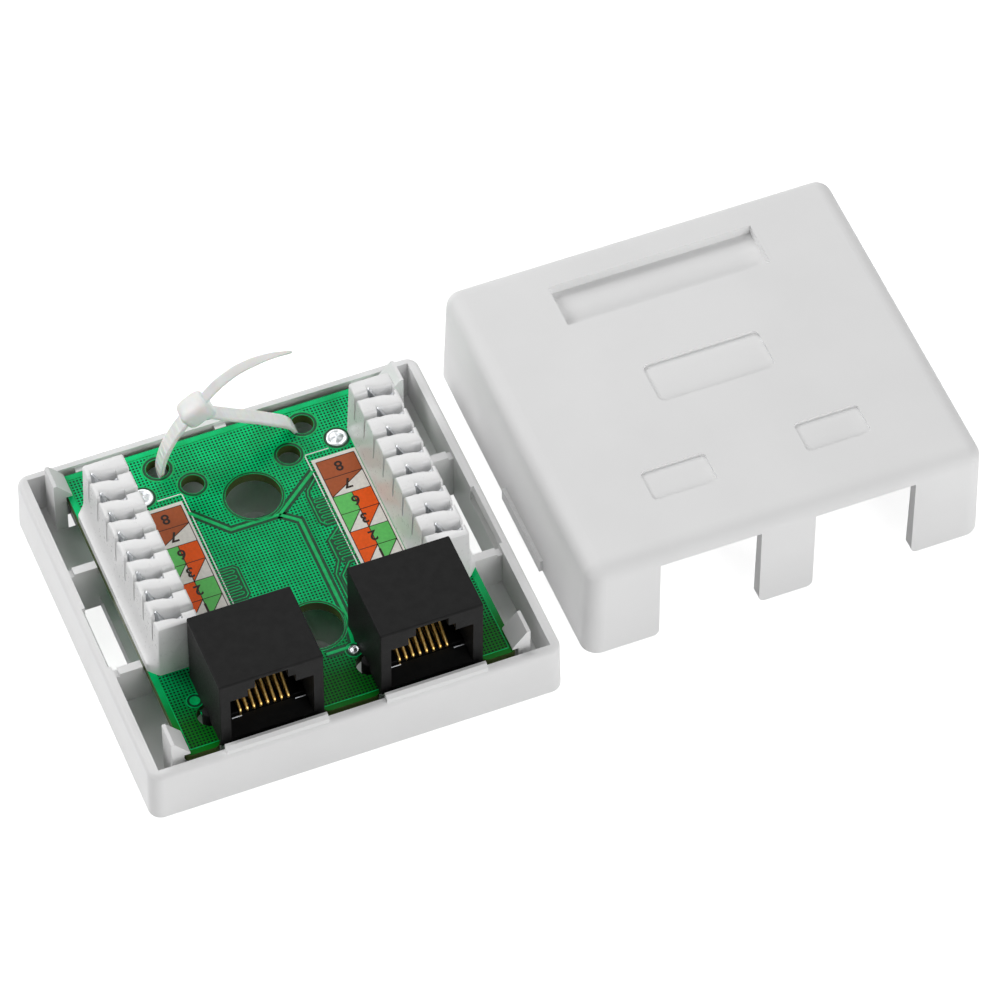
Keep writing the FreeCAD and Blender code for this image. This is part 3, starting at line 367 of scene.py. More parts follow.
def digit_shape(text, centre, height, level):
    """Flat outline of a digit, read from the back of the board."""
    scale, boldness = 1.4, 0.05
    curve = bpy.data.curves.new("digit", "FONT")
    curve.body, curve.size, curve.align_x, curve.align_y = text, height * scale, "CENTER", "CENTER"
    curve.offset = boldness
    holder = bpy.data.objects.new("digit", curve)
    bpy.context.scene.collection.objects.link(holder)
    mesh = bpy.data.meshes.new_from_object(holder.evaluated_get(bpy.context.evaluated_depsgraph_get()))
    points = np.array([vertex.co for vertex in mesh.vertices])
    points -= (points.max(0) + points.min(0)) / 2
    points = points * (-1, -1, 0) + (centre[0], centre[1], level)
    faces = [list(polygon.vertices) for polygon in mesh.polygons]
    bpy.data.objects.remove(holder)
    bpy.data.curves.remove(curve)
    bpy.data.meshes.remove(mesh)
    return points, faces


def cut_away(body, tool):
    """The body's mesh with the tool's space taken out of it."""
    holders = [bpy.data.objects.new("cutting", mesh) for mesh in (body, tool)]
    for holder in holders:
        bpy.context.scene.collection.objects.link(holder)
    cut = holders[0].modifiers.new("cut", "BOOLEAN")
    cut.operation, cut.solver, cut.object = "DIFFERENCE", "EXACT", holders[1]
    mesh = bpy.data.meshes.new_from_object(holders[0].evaluated_get(bpy.context.evaluated_depsgraph_get()))
    for holder in holders:
        bpy.data.objects.remove(holder)
    return mesh


def paint(material, *names):
    """The finish of CAD nodes that show as they are."""
    for name in names:
        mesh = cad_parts[name].data
        mesh.materials.clear()
        mesh.materials.append(material)


# ---------------------------------------------------------------- settings

def colour_setting(name, text, hex_colour):
    """Colour property whose default is an sRGB hex value."""
    return FloatVectorProperty(name=name, description=text, subtype="COLOR", size=4, min=0, max=1,
                               default=linear(hex_colour))


def length_setting(name, text, millimetres):
    """Length property whose default is given in millimetres."""
    return FloatProperty(name=name, description=text, unit="LENGTH", precision=5, default=millimetres * MM)


class ShellSettings(bpy.types.PropertyGroup):
    colour: colour_setting("Shell colour", "Tray and lid", "#F2F2F2")
    shade: colour_setting("Shell shade", "Their darker tone", "#EFEFEF")


class BoardSettings(bpy.types.PropertyGroup):
    lacquer: colour_setting("Lacquer", "Lacquer over the copper mesh", "#00DA82")
    lacquer_shade: colour_setting("Lacquer shade", "Its darker tone", "#00BE6E")
    copper: colour_setting("Tracks", "Lacquer over a wide track", "#00CC72")
    copper_shade: colour_setting("Track shade", "Its darker tone", "#00B660")
    gap: colour_setting("Mesh gap", "Lacquer over bare laminate", "#031C12")
    # Painted shade: this darker green is mixed into the lacquer towards the front edge of the board.
    front: colour_setting("Front lacquer", "Painted shade on the lacquer at the front edge", "#067018")
    edge: colour_setting("Cut edge", "Glass laminate", "#66753F")
    edge_shade: colour_setting("Cut edge shade", "Darker laminate", "#2F4420")
    tin: colour_setting("Solder", "Tin of the solder lands", "#E4E6E8")
    hatch_pitch: length_setting("Mesh pitch", "Spacing of the copper mesh", 0.508)
    hatch_line: FloatProperty(name="Mesh line", description="Height on the cosine above which a gap opens",
                              subtype="FACTOR", min=-1, max=1, default=-0.3)
    hatch_margin: length_setting("Mesh margin", "Plain border of the board", 0.9)
    track_width: length_setting("Track width", "Wide tracks", 0.55)
    track_clear: length_setting("Track clearance", "Dark margin on each side of a track", 0.42)


class JackSettings(bpy.types.PropertyGroup):
    colour: colour_setting("Jack colour", "Housings", "#1A1A1A")
    shade: colour_setting("Jack shade", "Lighter mottling", "#1F1F1F")
    gold: colour_setting("Contacts", "Gold plating", "#FFDC90")


class BlockSettings(bpy.types.PropertyGroup):
    colour: colour_setting("Block colour", "Wire blocks", "#F3F3F3")
    shade: colour_setting("Block shade", "Their darker tone", "#EFEFEF")
    blade: colour_setting("Blades", "Tin plated blades", "#ECEEF0")
    slot: length_setting("Slot width", "Narrow part of a wire slot at the top", 0.78)
    slot_depth: length_setting("Slot depth", "From the top of the teeth", 5.0)
    edge: length_setting("Tooth rounding", "Radius of the teeth's top edges", 0.5)
    pitch: length_setting("Slot pitch", "Spacing of the wire slots", 3.72)
    turn: FloatProperty(name="Blade turn", description="Turn of the blades from the slots", unit="ROTATION",
                        default=np.radians(37))


class LabelSettings(bpy.types.PropertyGroup):
    paper: colour_setting("Paper", "Label paper", "#F6F1EA")
    brown: colour_setting("Brown", "Brown ink", "#B25A30")
    green: colour_setting("Green", "Green ink", "#69D06A")
    orange: colour_setting("Orange", "Orange ink", "#FA5E08")
    blue: colour_setting("Blue", "Blue ink", "#2F62B0")
    black: colour_setting("Line ink", "Lines and digits", "#2A1A12")
    row_pitch: length_setting("Row pitch", "Height of one cell", 3.37)
    margin: length_setting("Margin", "Paper left beside the cells", 0.5)
    digit: length_setting("Digit height", "Height of a printed digit", 1.75)


class TieSettings(bpy.types.PropertyGroup):
    colour: colour_setting("Tie colour", "Nylon", "#FAFAF8")
    shade: colour_setting("Tie shade", "Its darker tone", "#F2F2F0")
    width: length_setting("Strap width", "Loop of the tie", 2.5)
    thickness: length_setting("Strap thickness", "Loop and tail", 0.75)
    ridge: length_setting("Ridge pitch", "Spacing of the ratchet ridges", 1.1)


class StageSettings(bpy.types.PropertyGroup):
    floor: colour_setting("Floor", "Plain pale floor", "#F4F4F4")
    floor_glow: FloatProperty(name="Floor glow", description="Brightness of the floor towards the camera",
                              min=0, default=0.8)
    left_power: FloatProperty(name="Rear left light", description="Soft box", unit="POWER", min=0, default=3.0)
    back_power: FloatProperty(name="Back light", description="Soft box", unit="POWER", min=0, default=2.0)
    front_power: FloatProperty(name="Front right light", description="Soft box", unit="POWER", min=0, default=2.55)
    sky: FloatProperty(name="Sky", description="Strength of the even light all round", min=0, default=0.2)


# ---------------------------------------------------------------- pieces

TIE_ROW = 22.65  # Y of the two tie holes and of the tie

# Section of a tinned land: shares of its radius, and heights as shares of its rise, the foot sunk.
FLOWED_TIN = ((1.0, -0.1), (1.0, 0.3), (0.95, 0.55), (0.86, 0.7), (0.76, 0.62), (0.68, 0.38), (0.6, 0.42),
              (0.48, 0.66), (0.3, 0.84), (0.12, 0.93), (0.004, 0.95))

# Wire blocks: X outwards from the middle line of the teeth.
TEETH_HALF, TEETH_CORNER = 3.05, 0.35
FOOT_INNER, FOOT_OUTER = 3.45, 4.55
SLOT_LINE = 3.8  # slots and blades, inwards from the foot's outer side


def rectangle(x0, x1, y0, y1):
    """Corners of an upright oblong."""
    return [(x0, y0), (x1, y0), (x1, y1), (x0, y1)]


def ring(centre, foot_inner, top_inner, top_outer, foot_outer, height):
    """Ring on the board with a trapezium for its section, given by the radii of its foot and top."""
    return turned(centre, [(foot_inner, SUNK), (top_inner, height), (top_outer, height), (foot_outer, SUNK)])


class JACKBOX_OT_shell(bpy.types.Operator):
    """Finish of the tray and the lid"""
    bl_idname = "jackbox.shell"
    bl_label = "Tray and lid"

    def execute(self, context):
        settings = context.scene.jackbox_shell
        paint(moulded_abs("moulded_abs_shell", settings.shade, settings.colour), "base_tray", "cover")
        return {"FINISHED"}


def land_shape(centre, radius, tinned):
    """Solder land: flowed tin with a rim round a lumpy middle, or a flat lacquered ring where it is bare."""
    tin_rise, lumps, ring_height, floor = 0.34, 0.16, 0.05, 0.02
    if tinned:
        profile = [(share * radius, height * tin_rise if height > 0 else SUNK) for share, height in FLOWED_TIN]
    else:
        profile = [(radius, SUNK), (radius, ring_height), (radius * 0.6, ring_height), (radius * 0.5, floor),
                   (0.004, floor)]
    vertices, faces = turned(centre, profile, lumps=lumps if tinned else 0.0)
    segments = len(vertices) // len(profile)
    return vertices, [face[::-1] for face in faces] + [list(range(len(vertices) - segments, len(vertices)))]


class JACKBOX_OT_board(bpy.types.Operator):
    """Board lacquer, tracks with dark margins, rings round the holes, solder lands and white legend lines"""
    bl_idname = "jackbox.board"
    bl_label = "Circuit board"

    def execute(self, context):
        settings = context.scene.jackbox_board
        paint(hatched_board("solder_mask_on_mesh", settings), "circuit_board")
        bare = lacquered_copper("solder_mask_bare", linear("#0B4227"), linear("#0F5030"))
        copper = lacquered_copper("solder_mask_copper", settings.copper_shade, settings.copper)
        tin = solder_tin("flowed_solder_tin", linear("#B9BCBF"), settings.tin)

        # Tracks as (x, y) points with a width; the snaking ones even out the lengths of a pair.
        wide, clear, border = (size / MM for size in (settings.track_width, settings.track_clear,
                                                      settings.hatch_margin))
        single, narrow, fine, line, fine_clear = 0.3, 0.24, 0.22, 0.16, 0.275
        tracks = [
            ([(-10.0, 14.0), (-5.1, 8.55), (2.3, 8.55), (9.4, 14.1)], wide),
            ([(2.2, 8.55), (4.6, 6.5), (4.6, -11.3), (3.75, -16.4)], wide),
            ([(-0.4, -16.9), (3.3, -16.9)], wide),
            ([(-12.0, -17.4), (-15.5, -20.0), (-20.2, -20.0)], wide),
            ([(20.0, 7.0), (20.0, -14.0)], single),
        ]
        snakes = [(snake(*run, turns), fine) for *run, turns in (
            (-9.7, -7.5, 1.75, 0.5, 10), (9.5, 7.9, 9.1, 0.5, 9), (9.5, 7.9, 2.1, 0.5, 9))]
        fine_tracks = [
            ([(9.3, 12.9), (7.5, 11.1), (7.2, 10.2), (7.2, 5.2), (7.9, 4.4), (9.3, 4.4)], fine),
            ([(9.3, 3.5), (7.1, 1.6), (7.1, -2.2), (5.9, -4.3), (5.9, -12.5)], narrow),
            ([(9.3, -2.9), (8.4, -2.9), (6.7, -4.9), (6.7, -12.5)], narrow),
            ([(9.4, -4.1), (7.6, -6.0), (7.6, -12.5)], narrow),
            ([(-9.8, 2.25), (-7.2, 2.25), (-6.75, 1.8), (-6.75, -2.9), (-7.2, -3.4), (-9.8, -3.4)], fine),
        ]
        back, front, flank = BOARD_HIGH[1] - border, BOARD_LOW[1] + border, BOARD_HIGH[0] - border
        borders = [([(-flank, y), (flank, y)], line) for y in (back, front)]
        borders += [([(x, front), (x, back)], line) for x in (-flank, flank)]
        snake_fields = ((-9.8, -6.9, -3.3, 2.2), (7.4, 9.7, 4.2, 9.4), (7.4, 9.7, -2.8, 2.5))
        field_height, margin_form, track_form = 0.012, (0.015, 0.01), (0.06, 0.05)  # form: height and bevel
        margins = [board_ribbon(points, width + 2 * clear, *margin_form) for points, width in tracks]
        margins += [board_ribbon(points, width + 2 * fine_clear, *margin_form) for points, width in fine_tracks]
        margins += [slab(rectangle(*field), BOARD_TOP + SUNK, BOARD_TOP + field_height) for field in snake_fields]
        drawn = [board_ribbon(points, width, *track_form)
                 for points, width in tracks + fine_tracks + snakes + borders]

        # Each hole has its radius, the width of its dark ring and that of the rim outside it.
        rings, rims = [], []
        holes = [((x, TIE_ROW), 1.7, 0.45, 0.26) for x in (-11.0, 11.0)]
        holes += [((x, 18.2), 1.7, 0.42, 0.2) for x in (-7.3, 7.3)]
        holes += [((0, y), 4.05, 0.32, 0.14) for y in (13.0, -11.7)]
        for centre, radius, dark, rim in holes:
            outer = radius + dark
            rings.append(ring(centre, radius, radius + 0.02, outer, outer, 0.03))
            rims.append(ring(centre, outer, outer + 0.04, outer + rim, outer + rim + 0.04, 0.06))
            rims.append(ring(centre, radius - 0.005, radius, radius + 0.08, radius + 0.1, 0.05))

        for name in (f"{side}_{place}_land" for side in SIDES for place in ("rear", "jack")):
            low, high = millimetres(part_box(name))
            centre, radius = ((low + high) / 2)[:2], (high[0] - low[0]) / 2
            rings.append(ring(centre, radius, radius, radius + 0.35, radius + 0.35, 0.02))
            rims.append(ring(centre, radius + 0.35, radius + 0.38, radius + 0.5, radius + 0.54, 0.05))
            tinned = name != "left_jack_land"
            land = new_piece(name + "_joint", new_mesh(name, *land_shape(centre, radius, tinned)),
                             tin if tinned else copper, 50)
            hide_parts(name)
        new_piece("board_margins", new_mesh("margins", *gathered(margins)), bare, 0)
        new_piece("board_tracks", new_mesh("tracks", *gathered(drawn)), copper)
        new_piece("hole_margins", new_mesh("rings", *gathered(rings)), bare)
        new_piece("hole_rims", new_mesh("rims", *gathered(rims)), copper)

        # White lines behind and beside each label.
        ink = printed_paper("white_legend_ink", linear("#E6EAE6"), linear("#F6F6F4"))
        behind, beside, reach, ink_form = 1.3, 0.45, 3.2, (0.2, 0.03, 0.02)
        lines = []
        for side, sign in SIDES.items():
            low, high = millimetres(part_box(f"{side}_colour_label"))
            inner, edge = min(abs(low[0]), abs(high[0])), high[1] + behind
            points = [(sign * (inner + reach), edge), (sign * (inner - beside), edge),
                      (sign * (inner - beside), low[1])]
            lines.append(board_ribbon(points, *ink_form))
        new_piece("board_legend", new_mesh("legend", *gathered(lines)), ink, 0)
        return {"FINISHED"}


class JACKBOX_OT_jacks(bpy.types.Operator):
    """Finish of the jacks and contacts, with grey metal strips beside the contacts as painted highlights on the
    insert's ledge edges, and the feet on the board
    """
    bl_idname = "jackbox.jacks"
    bl_label = "Jacks"

    def execute(self, context):
        settings = context.scene.jackbox_jack
        housing = filled_nylon("filled_nylon_satin", settings.colour, settings.shade, (0.45, 0.58))
        carrier = filled_nylon("filled_nylon_gloss", linear("#0C0C0C"), linear("#121212"), (0.1, 0.2))
        gold = plated_metal("gold_plated_bronze", linear("#F0C066"), settings.gold, (0.3, 0.42))
        # Painted highlight: grey metal strips beside the contacts stand in for the highlights on the front edges of
        # the black insert's ledges.
        glint_metal = plated_metal("painted_ledge_glint_metal", linear("#7F8184"), linear("#9A9C9E"), (0.3, 0.4))
        glint_spans = ((-4.95, -3.5), (4.4, 5.95))  # X from the middle of the mouth
        glint_section = [(0.11, -0.1), (0.11, 0.06), (0.04, 0.12), (-0.11, 0.12), (-0.11, -0.1)]
        glint_back, glint_height = 3.1, 1.12  # from the front face, and above the board
        foot_profile = [(1.1, -1.6), (1.1, 0.7), (1.0, 0.9), (0.8, 1.0), (0.004, 1.0)]
        foot_in, foot_back = 0.35, 5.6  # from the housing's left side and front face
        ledge_glints, feet = [], []
        for side in SIDES:
            paint(housing, f"{side}_jack_housing")
            paint(carrier, f"{side}_jack_insert")
            paint(gold, *[f"{side}_contact_{way + 1}" for way in range(WAYS)])
            low, high = millimetres(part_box(f"{side}_jack_housing"))
            middle, front, level = (low[0] + high[0]) / 2, low[1], BOARD_TOP + glint_height
            # The strips of painted highlight, one on each side of the row of contacts.
            ledge_glints += [swept([(middle + x, front + glint_back, level) for x in span], glint_section, (0, 0, 1))
                      for span in glint_spans]
            points, faces = turned((low[0] + foot_in, front + foot_back), foot_profile)
            feet.append((points, [face[::-1] for face in faces]))
        new_piece("painted_ledge_glints", new_mesh("ledge_glints", *gathered(ledge_glints)), glint_metal)
        new_piece("jack_feet", new_mesh("feet", *gathered(feet)), housing)
        return {"FINISHED"}


def block_line(side, inwards):
    """X of a line, given inwards from the outer side of a block's foot, and the block's low and high corner."""
    low, high = millimetres(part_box(f"{side}_punch_down_block"))
    return SIDES[side] * (max(abs(low[0]), abs(high[0])) - inwards), low, high


def block_body(side):
    """Block before its slots are cut: a section in X and Z carried along Y, its foot rounded off at both ends.

    The wall leans, and runs out to the foot in a hollow curve: a parabola set by three points."""
    centre, low, high = block_line(side, FOOT_OUTER)
    sign, height = SIDES[side], high[2] - low[2]
    wall, shoulder, run_out = 3.2, 3.1, 1.5
    t = np.linspace(0, 1, 7)[:, None]
    hollow = (1 - t) ** 2 * (FOOT_OUTER, 1.6) + 2 * t * (1 - t) * (3.35, 2.1) + t ** 2 * (3.22, 4.9)
    turn = np.linspace(0, np.pi / 2, 5)[:, None]
    flat, top = TEETH_HALF - TEETH_CORNER, height - TEETH_CORNER
    outer = (flat, top) + TEETH_CORNER * np.hstack([np.cos(turn), np.sin(turn)])
    inner = (-flat, top) + TEETH_CORNER * np.hstack([-np.sin(turn), np.cos(turn)])
    section = np.vstack([[(-FOOT_INNER, 0), (FOOT_OUTER, 0)], hollow, outer, inner])
    # At distances from an end of the block: how far edges are rounded in, and the share of the foot.
    from_end = np.array([0, 0.07, 0.25, 0.6, 1.0, 1.5, 2.1])
    inset = np.array([0.25, 0.07, 0, 0, 0, 0, 0])
    foot = np.clip(from_end / run_out, 0, 1)
    along = np.concatenate([low[1] + from_end, (high[1] - from_end)[::-1]])
    inset, foot = (np.concatenate([half, half[::-1]])[:, None] for half in (inset, foot))
    x, z = section.T
    across = np.where(x > wall, wall + (x - wall) * foot, x + 0 * foot) * (1 - inset / shoulder)
    level = low[2] + np.where(z > height / 2, z - inset, z + 0 * inset)
    rings = np.stack([centre + sign * across, np.broadcast_to(along[:, None], across.shape), level], -1)
    return lofted(rings if sign < 0 else rings[:, ::-1])


def slot_places(back, settings):
    """Y of each slot, from the back of the block."""
    first = 2.8
    return back - first - settings.pitch / MM * np.arange(WAYS)


def slot_cutters(side, settings):
    """Space of the eight wire slots, in steps along X.

    Each slot narrows with depth and flares in an arc at the top; by the blade its wall steps back and runs
    out in a curve, on the rear wall towards +X and on the front wall, turned half round, towards -X."""
    middle, _, high = block_line(side, SLOT_LINE)
    half, depth, radius = settings.slot / MM / 2, settings.slot_depth / MM, settings.edge / MM
    # X of the steps, past both walls of the block, and how far the slot's wall stands back at each.
    u = np.array([1.95, 1.85, 1.78, 1.7, 1.3, 0.8, 0.3])
    u = np.concatenate([[-4.6, -3], -u, u[::-1], [3, 4.6]])
    step = np.interp(u, [-1.78, -1.7, -1.2, -0.3, 0.8, 1.85, 1.95], [0, 0.85, 0.75, 0.35, 0.16, 0.12, 0])
    # Depth of the rows below the top of the teeth.
    down = np.concatenate([[-0.8, 0], radius * np.array([0.06, 0.15, 0.3, 0.55, 1.0]),
                           [0.45 * depth, 0.75 * depth, depth - 0.3, depth]])
    flare = radius - np.sqrt(radius ** 2 - np.clip(radius - down, 0, radius) ** 2)
    taper, bottom = 0.55, 0.45  # share of the width lost on the way down, and share left at the bottom
    narrow = half * (1 - taper * np.clip(down / depth, 0, 1)) * np.where(down >= depth, bottom, 1)
    fade = np.interp(down / depth, [0.4, 0.95], [1, 0.3])
    rear = narrow + flare + step[:, None] * fade
    front = -(narrow + flare + step[::-1][:, None] * fade)
    wall = np.hstack([rear, front[:, ::-1]])
    x = np.broadcast_to(middle + u[:, None], wall.shape)
    level = np.broadcast_to(np.concatenate([high[2] - down, (high[2] - down)[::-1]]), wall.shape)
    return gathered([lofted(np.stack([x, y + wall, level], -1)[:, ::-1])
                     for y in slot_places(high[1], settings)])


def blade_row(side, settings):
    """Eight forked blades: a flat outline with a wide notch between two prongs, made thick and turned about Z."""
    middle, low, high = block_line(side, SLOT_LINE)
    right = [(0.2, -2.6), (0.45, -1.6), (0.45, 0.8), (1.95, 0.8), (1.95, 9.9), (1.87, 10.05), (1.72, 10.1),
             (0.14, 7.9), (0.1, 5.0)]
    u, z = np.array(right + [(-u, z) for u, z in reversed(right)]).T
    thick = np.array([-0.2, 0.2])[:, None]
    c, s = np.cos(-settings.turn), np.sin(-settings.turn)
    x = middle + u * c - thick * s
    level = np.broadcast_to(low[2] + z, x.shape)
    return gathered([lofted(np.stack([x, y + u * s + thick * c, level], -1)[:, ::-1])
                     for y in slot_places(high[1], settings)])


class JACKBOX_OT_blocks(bpy.types.Operator):
    """Punch-down blocks with their flared and stepped wire slots, and the forked blades in them"""
    bl_idname = "jackbox.blocks"
    bl_label = "Punch-down blocks"

    def execute(self, context):
        settings = context.scene.jackbox_block
        plastic = moulded_polycarbonate("moulded_polycarbonate_block", settings.shade, settings.colour)
        tin = plated_metal("tin_plated_blade", linear("#C6C9CC"), settings.blade, (0.38, 0.5))
        least_growth = 4  # a block whose slots are cut has at least this many times the faces
        for side in SIDES:
            body = new_mesh("block_body", *block_body(side))
            mesh = cut_away(body, new_mesh("slots", *slot_cutters(side, settings)))
            if len(mesh.polygons) < least_growth * len(body.polygons):
                raise RuntimeError(f"the wire slots of the {side} block were not cut")
            block = new_piece(f"{side}_wire_block", mesh, plastic, 40)
            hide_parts(f"{side}_punch_down_block")
            blades = new_piece(f"{side}_blade_row", new_mesh("blades", *blade_row(side, settings)), tin)
            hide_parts(*[f"{side}_blade_{way + 1}" for way in range(WAYS)])
        return {"FINISHED"}


class JACKBOX_OT_labels(bpy.types.Operator):
    """Colour code labels with their printed cells and digits"""
    bl_idname = "jackbox.labels"
    bl_label = "Colour labels"

    def execute(self, context):
        settings = context.scene.jackbox_label
        inks, darker = {}, 0.9
        for name in ("paper", "brown", "green", "orange", "blue", "black"):
            colour = tuple(getattr(settings, name))
            inks[name] = printed_paper(f"label_{name}", (*(darker * part for part in colour[:3]), 1.0), colour)
        pitch, margin, digit_height = (size / MM for size in (settings.row_pitch, settings.margin, settings.digit))
        rows = "87632154"  # digits, from the back
        pairs = ["brown brown", "green orange", "orange green", "blue blue"]  # left and right ink of each two rows
        right_margin, back_margin, front_margin = 0.4, 0.65, 0.4
        card_lift, ink_height, line_height, digit_lift, half_line = 0.02, 0.012, 0.02, 0.024, 0.06
        line_section = [(half_line, 0.0), (half_line, line_height), (-half_line, line_height), (-half_line, 0.0)]
        for side in SIDES:
            low, high = millimetres(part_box(f"{side}_colour_label"))
            outline = rectangle(low[0], high[0], low[1], high[1])
            card = new_piece(f"{side}_label_card", new_mesh("card", *slab(outline, low[2] + card_lift, high[2])),
                             inks["paper"], 0)
            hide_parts(f"{side}_colour_label")
            level = high[2]
            x0, x1 = low[0] + margin, high[0] - right_margin
            middle, y0, y1 = (x0 + x1) / 2, high[1] - back_margin, low[1] + front_margin
            cells = {"brown": [], "green": [], "orange": [], "blue": []}
            lines = [[(x0, y0), (x0, y1)], [(x1, y0), (x1, y1)], [(x0, y0), (x1, y0)]]
            for row in range(len(rows)):
                top, bottom = y0 - row * pitch, y0 - (row + 1) * pitch
                left_ink, right_ink = pairs[row // 2].split()
                columns = [(x0, x1, left_ink)]
                if left_ink != right_ink:
                    columns = [(x0, middle, left_ink), (middle, x1, right_ink)]
                    lines.append([(middle, top), (middle, bottom)])
                for a, b, ink in columns:
                    corners = rectangle(a, b, bottom, top)
                    if row % 2:
                        # The pair's striped wire: half the cell, cut slantwise, stays white.
                        corners = [(a, bottom), (b, top), (a, top)]
                        lines.append([(a, bottom), (b, top)])
                    cells[ink].append(slab(corners, level, level + ink_height))
                lines.append([(x0, bottom), (x1, bottom)])
            for ink, shapes in cells.items():
                new_piece(f"{side}_label_{ink}", new_mesh(ink, *gathered(shapes)), inks[ink], 0)
            drawn = [swept([(x, y, level) for x, y in points], line_section, (0, 0, 1)) for points in lines]
            drawn += [digit_shape(digit, (middle, y0 - (row + 0.5) * pitch), digit_height, level + digit_lift)
                      for row, digit in enumerate(rows)]
            new_piece(f"{side}_label_lines", new_mesh("lines", *gathered(drawn)), inks["black"], 0)
        return {"FINISHED"}


def strap(points, width, thickness, twist, ridge, count):
    """Flat strap along a curve in X and Z: a rounded oblong section, its width along Y turned by a twist.

    The width and the twist are given at even steps along the curve; ratchet ridges are saw teeth on one face."""
    corner_power, ridge_depth, ridge_share = 0.45, 0.3, 0.8
    flat = curve_through(points, count)
    run = np.gradient(flat, axis=0)
    run /= np.linalg.norm(run, axis=1)[:, None]
    share = np.linspace(0, 1, count)
    half = np.interp(share, np.linspace(0, 1, len(width)), width)[:, None] / 2
    angle = np.interp(share, np.linspace(0, 1, len(twist)), np.radians(twist))
    normal = np.stack([-run[:, 1], 0 * share, run[:, 0]], -1)
    across = np.cos(angle)[:, None] * (0, 1, 0) + np.sin(angle)[:, None] * normal
    normal = np.cos(angle)[:, None] * normal - np.sin(angle)[:, None] * np.array((0, 1, 0))
    around = np.linspace(0, 2 * np.pi, 18, endpoint=False)
    a, b = squared(np.cos(around), corner_power), squared(np.sin(around), corner_power)
    length = np.concatenate([[0], np.cumsum(np.linalg.norm(np.diff(flat, axis=0), axis=1))])
    saw = (length / ridge % 1)[:, None]
    rise = thickness / 2 * np.where((b < -0.5) & (np.abs(a) < ridge_share), 1 - ridge_depth * saw, 1.0)
    centre = np.stack([flat[:, 0], TIE_ROW + 0 * share, flat[:, 1]], -1)
    rings = centre[:, None] + across[:, None] * (half * a)[..., None] + normal[:, None] * (rise * b)[..., None]
    return lofted(rings[:, ::-1])


class JACKBOX_OT_tie(bpy.types.Operator):
    """Cable tie: the loop through the board's two tie holes, the head and the loose pointed tail"""
    bl_idname = "jackbox.tie"
    bl_label = "Cable tie"

    def execute(self, context):
        settings = context.scene.jackbox_tie
        wide, thick, ridge = (size / MM for size in (settings.width, settings.thickness, settings.ridge))
        loop = [(-5.4, 19.6), (-6.6, 18.2), (-8.2, 15.9), (-9.65, 13.0), (-10.45, 10.2), (-10.7, 7.9),
                (-10.4, 6.6), (-9.2, 6.25), (-4.5, 6.25), (4.5, 6.25), (8.3, 6.25), (9.5, 6.7), (9.8, 8.0),
                (9.4, 9.5), (8.5, 10.7), (6.8, 11.95), (4.05, 13.85), (0.6, 16.0), (-2.7, 18.2), (-4.4, 19.4)]
        tail = [(-4.7, 20.2), (-3.6, 21.5), (-2.5, 22.8), (-1.1, 24.1), (1.3, 25.6), (4.0, 26.35), (6.7, 26.5),
                (9.8, 26.0)]
        tail_widths, tail_twists = [1.7, 1.65, 1.6, 1.6, 1.5, 1.35, 0.95, 0.3], [0, 10, 20, 25, 25, 20, 15]
        tail_thickness, head_tilt, loop_steps, tail_steps = thick * 0.8, -32, 420, 170
        nylon = natural_nylon("natural_nylon_tie", settings.shade, settings.colour)
        shapes = [strap(loop, [wide], thick, [0], ridge, loop_steps),
                  strap(tail, tail_widths, tail_thickness, tail_twists, ridge, tail_steps),
                  rounded_box((-4.95, TIE_ROW, 19.85), (2.3, 2.0, 1.65), head_tilt),
                  rounded_box((-3.35, TIE_ROW, 19.2), (1.0, 1.5, 1.1), head_tilt)]
        tie = new_piece("nylon_tie", new_mesh("tie", *gathered(shapes)), nylon, 50)
        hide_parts("cable_tie")
        return {"FINISHED"}


def seen_directly(tree):
    """1 for rays from the camera, also by a mirror or through glass, and 0 for light that falls on the object."""
    path = node(tree, "LightPath").outputs
    glossy = node(tree, "Math", {0: path["Is Glossy Ray"], 1: path["Is Transmission Ray"]}, operation="MAXIMUM")
    return node(tree, "Math", {0: path["Is Camera Ray"], 1: glossy}, operation="MAXIMUM")


